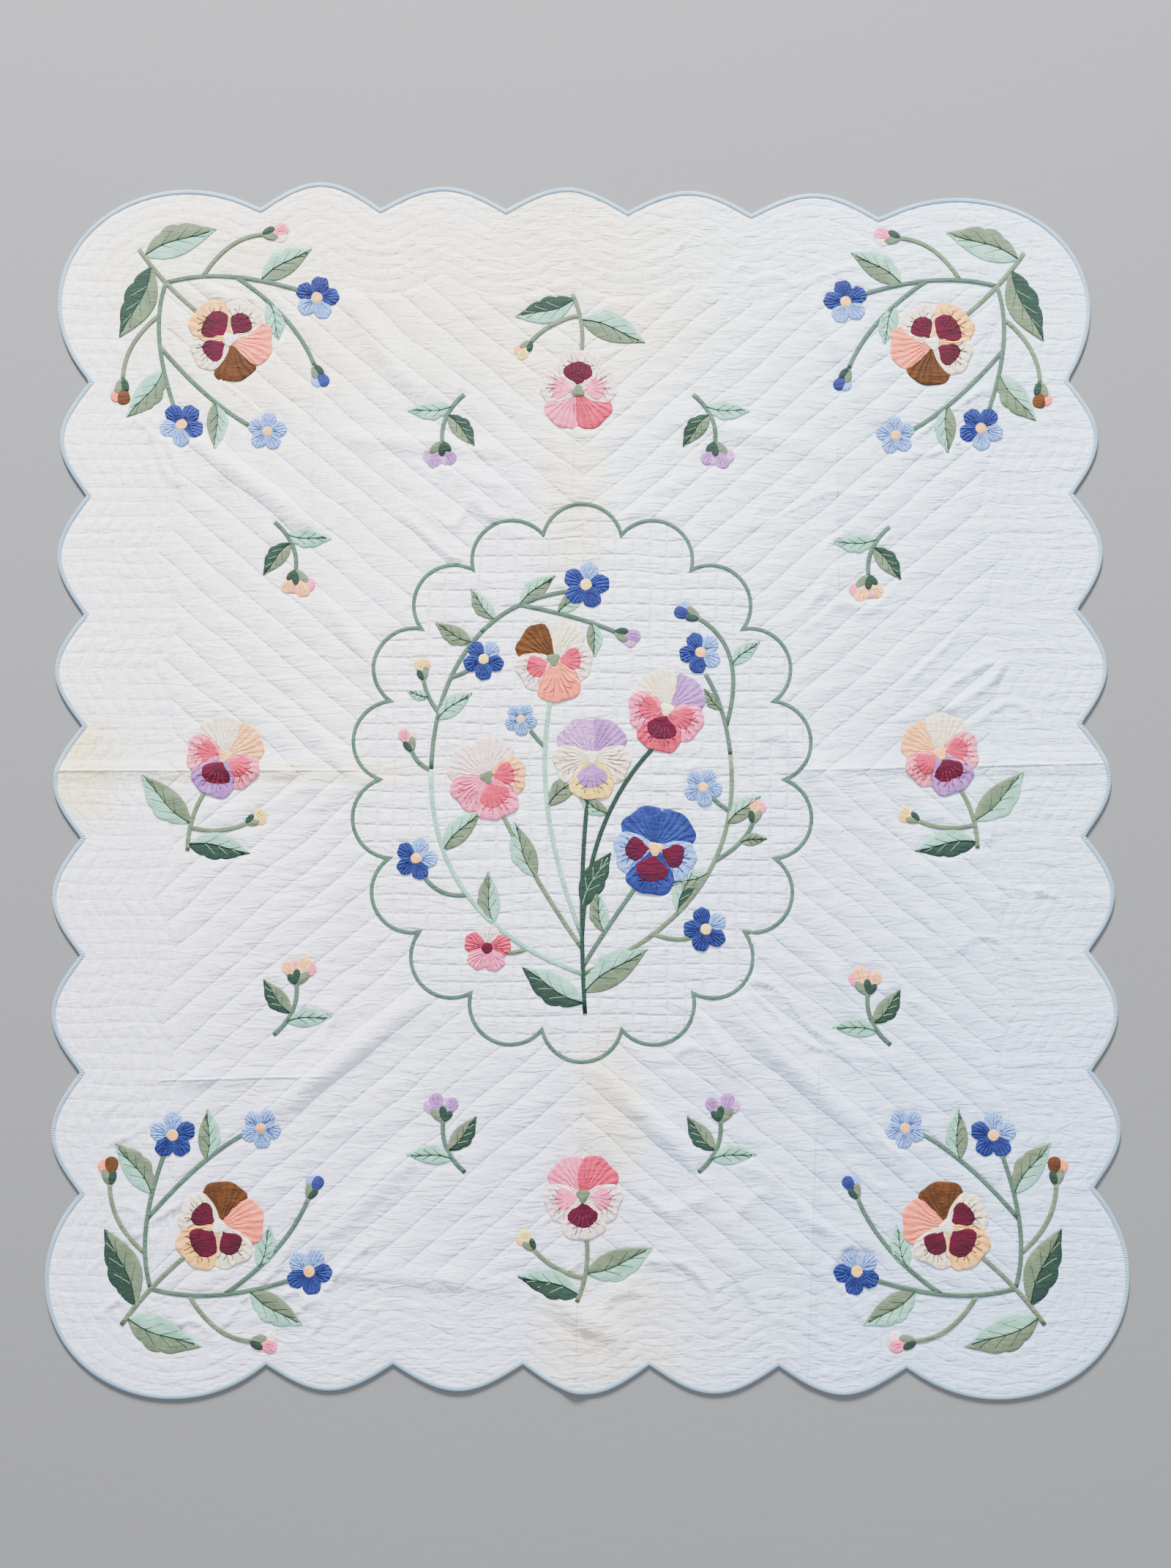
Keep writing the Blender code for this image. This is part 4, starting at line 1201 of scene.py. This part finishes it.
def sew_greenery(motif, place):
    """Stems, leaves and buds of one motif."""
    curves = stem_curves(motif)
    work = Applique(place)
    for leaf in motif.leaves:
        sew_leaf(work, leaf, curves)
    for number, (stem, curve) in enumerate(zip(motif.stems, curves)):
        points = [bezier(*curve, t) for t in shares(18)]
        work.tape(points, STEM_WIDTH, stem.cloth, LAYER * (1 - 0.04 * number))
        covered.append(placed(ribbon(points, STEM_WIDTH), place))
    for bud in motif.buds:
        sew_bud(work, bud, bud.look or place.look, curves)
    return work.finish(place.name + "_greenery", "green_prints")


def sew_flower(flower, place, number):
    """One flower of a motif."""
    work = Applique(place)
    bloom = BLOOMS[flower.look or place.look]
    sew = sew_pansy if flower.kind == "pansy" else sew_blossom
    sew(work, flower, bloom)
    covered.append(placed(flower_outline(flower), place))
    return work.finish(f"{place.name}_{flower.kind}_{number}", FLOWER_SLOTS[flower.kind])


def sew_motifs():
    """Every motif of the quilt; returns its pieces."""
    made = []
    for motif, place in PLACES:
        made.append(sew_greenery(motif, place))
        for number, flower in enumerate(motif.flowers, 1):
            made.append(sew_flower(flower, place, number))
    return made


# The ring, the binding and the quilted body

def sew_ring(line):
    """The green tape of the ring."""
    shape = bmesh.new()
    carry(shape, tape_section(RING_TAPE_WIDTH, 0.0), stations(line, True), closed=True)
    mesh = shape_mesh("ring_tape_sewn", shape)
    lay_on_quilt(mesh, QUILT)
    return add_piece("ring_tape_sewn", mesh, ["ring green"], ["ring_tape"])


def sew_binding(outline):
    """The pale blue strip that wraps the edge."""
    section = [(-depth, height) for depth, height in BINDING_SECTION]
    shape = bmesh.new()
    carry(shape, section, stations(outline, True), closed=True)
    mesh = shape_mesh("binding_sewn", shape)
    lay_on_quilt(mesh, 0.0)
    made = add_piece("binding_sewn", mesh, ["binding blue"], ["binding"])
    length = sum((b - a).length for a, b in zip(outline, outline[1:] + outline[:1]))
    return made


def grid_shape(low_x, high_x, cell):
    """A flat grid from foot to head."""
    shape = bmesh.new()
    columns, rows = round((high_x - low_x) / cell), round(2 * REACH_Y / cell)
    bmesh.ops.create_grid(shape, x_segments=columns, y_segments=rows, size=0.5)
    bmesh.ops.scale(shape, vec=(high_x - low_x, 2 * REACH_Y, 1), verts=shape.verts[:])
    bmesh.ops.translate(shape, vec=((low_x + high_x) / 2, 0, 0), verts=shape.verts[:])
    return shape


def trim_to(shape, outline, cell):
    """Cut a grid to the outline: far points go, and near ones are drawn in to it."""
    verts = shape.verts[:]
    x, y = flat_places([vert.co for vert in verts])
    edge, near_x, near_y = reach_to(x, y, outline)
    for i in np.nonzero((edge < TUCK) & (edge > -cell))[0]:
        way = Vector((x[i] - near_x[i], y[i] - near_y[i])) * (1 if edge[i] > 0 else -1)
        verts[i].co.xy = Vector((near_x[i], near_y[i])) + way.normalized() * TUCK
    gone = [verts[i] for i in np.nonzero(edge <= -cell)[0]]
    bmesh.ops.delete(shape, geom=gone, context="VERTS")
    drop_stray_faces(shape, outline)


def drop_stray_faces(shape, outline):
    """Take away the faces at a grid's rim that span a notch of the outline."""
    rim = [face for face in shape.faces if any(vert.is_boundary for vert in face.verts)]
    centres = [face.calc_center_median() for face in rim]
    inside = reach_to(*flat_places(centres), outline)[0]
    stray = [face for face, depth in zip(rim, inside) if depth < TUCK / 2]
    bmesh.ops.delete(shape, geom=stray, context="FACES")


def flat_area(mesh):
    """Area of a mesh seen from above."""
    points = coordinates(mesh)
    total = 0.0
    for polygon in mesh.polygons:
        corners = points[list(polygon.vertices), :2]
        x, y = corners[:, 0], corners[:, 1]
        total += 0.5 * abs(np.dot(x, np.roll(y, -1)) - np.dot(y, np.roll(x, -1)))
    return total


def sew_face(name, low_x, high_x, outline, ring):
    """One width of the quilted face, with what is sewn on it."""
    shape = grid_shape(low_x, high_x, FACE_CELL)
    trim_to(shape, outline, FACE_CELL)
    mesh = shape_mesh(name, shape)
    points = coordinates(mesh)
    x, y = points[:, 0].copy(), points[:, 1].copy()
    kept = {"edge": reach_to(x, y, outline)[0], "ring": reach_to(x, y, ring)[0],
            "cover": outside_patches(x, y), "grain": up_and_down(x, y)}
    kept["marked_x"], kept["marked_y"] = wandered(x, y)
    kept["pressed"], kept["creased"] = pressed(x, y)
    points[:, 2] = lift(x, y) + quilted(x, y, kept["edge"], kept["ring"], kept["cover"])
    mesh.vertices.foreach_set("co", points.ravel())
    mesh.update()
    for key, values in kept.items():
        keep_attribute(mesh, key, values)
    made = add_piece(name, mesh, ["white cotton"], ["quilt_body"])
    flat_area(mesh)
    return made


def sew_back(outline):
    """The plain white backing, face down on the surface."""
    shape = grid_shape(-REACH_X, REACH_X, BACK_CELL)
    trim_to(shape, outline, BACK_CELL)
    bmesh.ops.reverse_faces(shape, faces=shape.faces[:])
    mesh = shape_mesh("quilt_back", shape)
    lay_on_quilt(mesh, BACK_REST)
    made = add_piece("quilt_back", mesh, ["backing cotton"], [])
    flat_area(mesh)
    return made


# Materials

class Wire:
    """One output of a node; sums with it become Math nodes."""

    def __init__(self, look, socket):
        self.look = look
        self.socket = socket

    def math(self, operation, *values):
        """A Math node on some values."""
        inputs = dict(enumerate(values))
        return self.look.node("ShaderNodeMath", {"operation": operation}, inputs)

    def __add__(self, other):
        return self.math("ADD", self, other)

    def __sub__(self, other):
        return self.math("SUBTRACT", self, other)

    def __rsub__(self, other):
        return self.math("SUBTRACT", other, self)

    def __mul__(self, other):
        return self.math("MULTIPLY", self, other)

    def __truediv__(self, other):
        return self.math("DIVIDE", self, other)

    def __pow__(self, other):
        return self.math("POWER", self, other)

    def __abs__(self):
        return self.math("ABSOLUTE", self)

    __radd__ = __add__
    __rmul__ = __mul__

    def least(self, other):
        """The lesser of two values."""
        return self.math("MINIMUM", self, other)

    def most(self, other):
        """The greater of two values."""
        return self.math("MAXIMUM", self, other)

    def below(self, other):
        """1 where it is less than another value, and 0 elsewhere."""
        return self.math("LESS_THAN", self, other)

    def above(self, other):
        """1 where it is more than another value, and 0 elsewhere."""
        return self.math("GREATER_THAN", self, other)

    def rise(self, low, high):
        """From 0 at one value to 1 at another, gentle at both ends."""
        settings = {"interpolation_type": "SMOOTHSTEP"}
        return self.look.node("ShaderNodeMapRange", settings, {0: self, 1: low, 2: high})

    def to_row(self, pitch):
        """Distance to the nearest of some even rows."""
        return self.math("PINGPONG", self + 100 * pitch, pitch / 2)

    def wave(self):
        """Its sine, from 0 to 1."""
        return self.math("SINE", self) * 0.5 + 0.5


class Look:
    """A material in the making."""

    def __init__(self, name):
        self.material = bpy.data.materials.new(name)
        self.material.use_nodes = True
        self.nodes = self.material.node_tree.nodes
        self.links = self.material.node_tree.links
        self.shader = self.nodes["Principled BSDF"]

    def node(self, kind, settings=None, inputs=None, output=0):
        """Add a node; its settings are set first, then its sockets are set or linked."""
        made = self.nodes.new(kind)
        for key, value in (settings or {}).items():
            setattr(made, key, value)
        for key, value in (inputs or {}).items():
            if isinstance(value, Wire):
                self.links.new(value.socket, made.inputs[key])
            else:
                made.inputs[key].default_value = value
        return Wire(self, made.outputs[output])

    def mix(self, share, first, second):
        """A colour between two colours."""
        colours = {0: share, 6: shade(first), 7: shade(second)}
        return self.node("ShaderNodeMix", {"data_type": "RGBA"}, colours, 2)

    def tint(self, share, colour, by):
        """A colour multiplied by another, by a share."""
        settings = {"data_type": "RGBA", "blend_type": "MULTIPLY"}
        colours = {0: share, 6: shade(colour), 7: shade(by)}
        return self.node("ShaderNodeMix", settings, colours, 2)

    def place(self):
        """Where a point is, in metres."""
        return self.node("ShaderNodeTexCoord", output="Object")

    def parts(self, vector):
        """The x and y of a place."""
        return [self.node("ShaderNodeSeparateXYZ", {}, {"Vector": vector}, axis) for axis in (0, 1)]

    def stretched(self, vector, x, y):
        """A place with its flat axes scaled."""
        return self.node("ShaderNodeMapping", {}, {"Vector": vector, "Scale": (x, y, 1.0)})

    def noise(self, vector, scale, detail, distortion=0.0):
        """Soft unevenness from 0 to 1."""
        inputs = {"Vector": vector, "Scale": scale, "Detail": detail, "Distortion": distortion}
        return self.node("ShaderNodeTexNoise", {}, inputs)

    def creases(self, vector, x, y, seed):
        """Soft ridges between thin creases, in cells of x by y; 0 in a crease and 1 on a ridge."""
        away = {0: vector, 1: (seed, 0, 0)}
        moved = self.node("ShaderNodeVectorMath", {"operation": "ADD"}, away)
        level = self.noise(self.stretched(moved, 1 / x, 1 / y), 1.0, 1.5, 0.45)
        return abs(level - 0.5).rise(0.0, 0.14) * 0.65 + level.rise(0.25, 0.75) * 0.35

    def kept(self, name):
        """A value kept on the mesh."""
        return self.node("ShaderNodeAttribute", {"attribute_name": name}, {}, "Fac")

    def finish(self, colour, rough, height, distance, sheen=0.15):
        """Join colour, roughness and relief to the shader."""
        self.shader.inputs["Specular IOR Level"].default_value = CLOTH_SHINE
        self.shader.inputs["Sheen Weight"].default_value = sheen
        self.shader.inputs["Sheen Roughness"].default_value = SHEEN_ROUGHNESS
        self.links.new(colour.socket, self.shader.inputs["Base Color"])
        self.links.new(rough.socket, self.shader.inputs["Roughness"])
        bump = self.node("ShaderNodeBump", {}, {"Height": height, "Distance": distance})
        self.links.new(bump.socket, self.shader.inputs["Normal"])
        return self.material


def shade(colour):
    """A colour as it is seen, from 0 to 255, as the light that the cloth gives back.

    The bright studio lifts all but the palest colours, so they are made deeper here.
    """
    if isinstance(colour, Wire):
        return colour
    parts = [((part / 255 + 0.055) / 1.055) ** 2.4 for part in colour]
    depths = [DEEPENED + (1 - DEEPENED) * float(smooth(0.35, 0.85, part)) for part in parts]
    return tuple(part * depth for part, depth in zip(parts, depths)) + (1.0,)


def weave(look, place, pitch):
    """Height of a plain weave, from 0 to 1."""
    x, y = look.parts(place)
    return (x * (2 * math.pi / pitch)).wave() * (y * (2 * math.pi / pitch)).wave()


def figure(look, place, pattern, cloudy):
    """Where a print's second colour shows, from 0 to 1."""
    if pattern == "speckled":
        spots = look.node("ShaderNodeTexVoronoi", {}, {"Vector": place, "Scale": 170.0}, "Distance")
        return 1 - spots.rise(0.18, 0.42)
    if pattern == "twisted":
        return look.noise(place, 600, 1).rise(0.4, 0.6)
    return cloudy


def gathers(look, place):
    """Small folds that run out from the root of a petal, from 0 to 1."""
    round_petal = look.kept("fan")
    folds = (round_petal * 33 + look.noise(place, 30, 1) * 7).wave()
    return folds * abs(round_petal).rise(0.0, 0.03)


def printed(name, kind):
    """A cotton print, or a thread, with painted shade in its creases and in a petal's gathers."""
    look = Look(name)
    place = look.place()
    cloudy = look.noise(place, 38, 3).rise(0.35, 0.65)
    fine = look.noise(place, 900, 1)
    shown = figure(look, place, kind.pattern, cloudy) * kind.strength
    colour = look.mix(shown, kind.ground, kind.figure)
    colour = look.tint(cloudy * 0.25, colour, by=CLOUDY_SHADE)
    colour = look.tint(fine.rise(0.3, 0.8) * 0.2, colour, by=FINE_SHADE)
    crease = look.creases(place, 0.045, 0.012, 1.0) * 0.6
    crease = crease + look.creases(place, 0.014, 0.05, 2.0) * 0.4
    gather = gathers(look, place)
    # Painted shade: darker in the creases and along the folds of the gathers
    colour = look.tint((1 - crease) * 0.30 + gather * 0.22, colour, by=PAINTED_FOLD_SHADE)
    height = crease * 0.80 - gather * 0.85 + weave(look, place, PRINT_WEAVE) * 0.05 + fine * 0.10
    return look.finish(colour, 0.92 - cloudy * 0.1, height, PRINT_RELIEF, 0.03)


def binding_cloth():
    """Pale blue cotton with fine ribs across the strip, painted darker between the ribs as shade.
    """
    look = Look("binding blue")
    place = look.place()
    run = look.kept("run")
    rib_height = run.to_row(RIB_PITCH) / (RIB_PITCH / 2)
    cloudy = look.noise(place, 9, 3).rise(0.3, 0.7)
    seen = look.noise(place, 3.5, 1).rise(0.35, 0.6)
    # Painted shade: the blue is darker in the hollows between ribs, and also varies by a cloudy
    # tone of the cloth
    colour = look.mix(rib_height * 0.45 * seen + cloudy * 0.3, *BINDING_AND_RIB_SHADE)
    height = rib_height * 0.8 * (seen * 0.8 + 0.2) + look.noise(place, 350, 2) * 0.35
    return look.finish(colour, 0.95 - cloudy * 0.1, height, BINDING_RELIEF)


def backing_cloth():
    """Plain white backing with the rows of quilting in its relief, and painted shade along the rows
    and in its soft crinkles.
    """
    look = Look("backing cotton")
    place = look.place()
    x, y = look.parts(place)
    row = across_rows(x, y).to_row(FIELD_PITCH).rise(0.0, 0.012)
    soft = look.noise(look.stretched(place, 40, 95), 1.0, 2)
    colour = look.mix(look.noise(place, 5, 2), *BACKING)
    # Painted shade: darker along the rows of quilting and in the low parts of the soft crinkles
    colour = look.tint((1 - row) * 0.16 + (1 - soft) * 0.12, colour, by=PAINTED_ROW_SHADE)
    height = row * 0.6 + soft * 0.35 + weave(look, place, PRINT_WEAVE) * 0.05
    return look.finish(colour, 0.93 - soft * 0.06, height, BACKING_RELIEF)


def stain(x, y, at_x, at_y, wide, high):
    """A soft yellowed spot, from 0 to 1."""
    away = ((x - at_x) / wide) ** 2.0 + ((y - at_y) / high) ** 2.0
    return 1 - away.rise(0.0, 1.0)


def stains(look, place):
    """Where the white cotton has yellowed: along old folds and near some edges."""
    x, y = look.parts(place)
    total = stain(x, y, *DARK_STAIN)
    for spot in LIGHT_STAINS:
        total = total.most(stain(x, y, *spot) * 0.6)
    uneven = look.noise(place, 6, 3).rise(0.2, 0.75)
    return total * (uneven * 0.6 + 0.4)


def quilting_rows(look):
    """Distance to the nearest row of stitches, as in the mesh."""
    x, y = look.kept("marked_x"), look.kept("marked_y")
    edge, ring = look.kept("edge"), look.kept("ring")
    field = across_rows(x, y).to_row(FIELD_PITCH)
    grid = x.to_row(GRID_PITCH).least(y.to_row(GRID_PITCH))
    upright = (REACH_X - abs(x)).below(REACH_Y - abs(y))
    cross = y.to_row(CROSS_PITCH) * upright + x.to_row(CROSS_PITCH) * (1 - upright)
    border = edge.to_row(ECHO_PITCH).least(cross)
    in_ring = ring.above(0.0)
    in_border = edge.below(BORDER)
    outer = border * in_border + field * (1 - in_border)
    return grid * in_ring + outer * (1 - in_ring)


def stitched(look):
    """How strongly the rows of stitches show, in relief and as painted shade: less in the border,
    and more in the ring.
    """
    edge, ring = look.kept("edge"), look.kept("ring")
    near = 1 - quilting_rows(look).rise(0.0, 0.0048)
    near = near * (0.45 + 0.55 * edge.rise(BORDER - 0.01, BORDER))
    return near * (1 + 0.25 * ring.rise(0.0, 0.005))


def washed_creases(look, place):
    """Fine crinkles of washed cloth, mostly along the grain; low in a crease."""
    upright = look.kept("grain")
    across = look.creases(place, CREASE_LENGTH, CREASE_PITCH, 3.0)
    upward = look.creases(place, CREASE_PITCH, CREASE_LENGTH, 4.0)
    main = across * (1 - upright) + upward * upright
    other = upward * (1 - upright) + across * upright
    return main * 0.55 + other * 0.30 + look.noise(place, 70, 2) * 0.25


def face_colour(look, place, rows, washed):
    """White cotton, cooler to the right and the foot, yellowed, with painted shade along its rows,
    in its creases and round the patches.
    """
    x, y = look.parts(place)
    colour = look.mix(x.rise(-0.5, 0.9) * 0.8, *COTTON)
    colour = look.tint(y.rise(0.3, -0.9) * 0.7, colour, by=FOOT_TINT)
    colour = look.mix(stains(look, place), colour, YELLOWED)
    # Painted shade: darker along the rows of stitches, in the valleys between the puffs
    colour = look.tint(rows * 0.13, colour, by=PAINTED_ROW_SHADE)
    # Painted shade: darker in the low lines of the washed crinkles
    colour = look.tint((1 - washed.rise(0.15, 0.85)) * 0.14, colour, by=PAINTED_CREASE_SHADE)
    # Painted shadow: the face is darker right round and under the patches' edges
    shadow_by_patches = look.kept("cover").rise(0.004, 0.0)
    return look.tint(shadow_by_patches * 0.25, colour, by=PAINTED_PATCH_SHADOW)


def face_cloth():
    """Washed white cotton: quilting rows, pressed folds, crinkles, weave and old stains, with
    painted shade in rows, crinkles and round patches.
    """
    look = Look("white cotton")
    place = look.place()
    rows, washed = stitched(look), washed_creases(look, place)
    fold = (1 - abs(look.kept("pressed")).rise(0.0, 0.0050)) * look.kept("creased")
    fibre = look.noise(place, 700, 1)
    height = washed * 0.85 - rows * 0.40 + fold * 0.70
    height = height + weave(look, place, FACE_WEAVE) * 0.012 + fibre * 0.02
    colour = face_colour(look, place, rows, washed)
    return look.finish(colour, 0.95 - fibre * 0.1, height, COTTON_RELIEF)


def cloth(name):
    """A cloth's material, made once."""
    found = bpy.data.materials.get(name)
    if found:
        return found
    special = {"white cotton": face_cloth, "binding blue": binding_cloth,
               "backing cotton": backing_cloth}
    return special[name]() if name in special else printed(name, PRINTS[name])


# Floor, light and camera

def lay_floor():
    """A plain pale floor."""
    shape = bmesh.new()
    bmesh.ops.create_grid(shape, x_segments=2, y_segments=2, size=FLOOR_HALF)
    bmesh.ops.translate(shape, vec=(0, 0, FLOOR_LEVEL), verts=shape.verts[:])
    mesh = shape_mesh("floor", shape)
    look = Look("pale floor")
    soft, grain = look.noise(look.place(), 1.2, 2), look.noise(look.place(), 40, 2)
    colour = look.mix(soft * 0.3, *FLOOR)
    mesh.materials.append(look.finish(colour, 0.9 - soft * 0.1, grain, FLOOR_RELIEF, 0.0))
    floor = bpy.data.objects.new("floor", mesh)
    bpy.context.scene.collection.objects.link(floor)


def hang_lamp(lamp):
    """A large soft light that faces the middle of the floor."""
    light = bpy.data.lights.new(lamp.name, "AREA")
    light.shape = "DISK"
    light.size = lamp.size
    light.energy = lamp.power
    light.color = lamp.colour
    made = bpy.data.objects.new(lamp.name, light)
    made.location = lamp.place
    made.rotation_euler = (-Vector(lamp.place)).to_track_quat("-Z", "Y").to_euler()
    bpy.context.scene.collection.objects.link(made)


def light_studio():
    """A key from beyond the head, a soft fill from overhead, and an even glow all round."""
    for lamp in LAMPS:
        hang_lamp(lamp)
    world = bpy.data.worlds.new("studio")
    world.use_nodes = True
    background = world.node_tree.nodes["Background"]
    background.inputs["Color"].default_value = GLOW
    background.inputs["Strength"].default_value = GLOW_STRENGTH
    bpy.context.scene.world = world


def set_camera():
    """The camera looks down at the quilt, a few degrees from straight."""
    tilt = math.radians(CAMERA_TILT)
    back, up = CAMERA_DISTANCE * math.sin(tilt), CAMERA_DISTANCE * math.cos(tilt)
    data = bpy.data.cameras.new("camera")
    data.sensor_width = SENSOR_WIDTH
    data.lens = FOCAL_LENGTH
    made = bpy.data.objects.new("camera", data)
    made.location = (CAMERA_OVER[0], CAMERA_OVER[1] - back, up)
    made.rotation_euler = (tilt, 0, 0)
    bpy.context.scene.collection.objects.link(made)
    bpy.context.scene.camera = made


def main():
    """Dress the solids."""
    set_camera()
    light_studio()
    lay_floor()
    outline, ring = quilt_outline(), ring_line()
    patches = sew_motifs()
    patches.append(sew_ring(ring))
    sew_back(outline)
    sew_face("quilt_face_left", -REACH_X, CENTRE_SEAM, outline, ring)
    sew_face("quilt_face_right", CENTRE_SEAM, REACH_X, outline, ring)
    sew_binding(outline)


main()
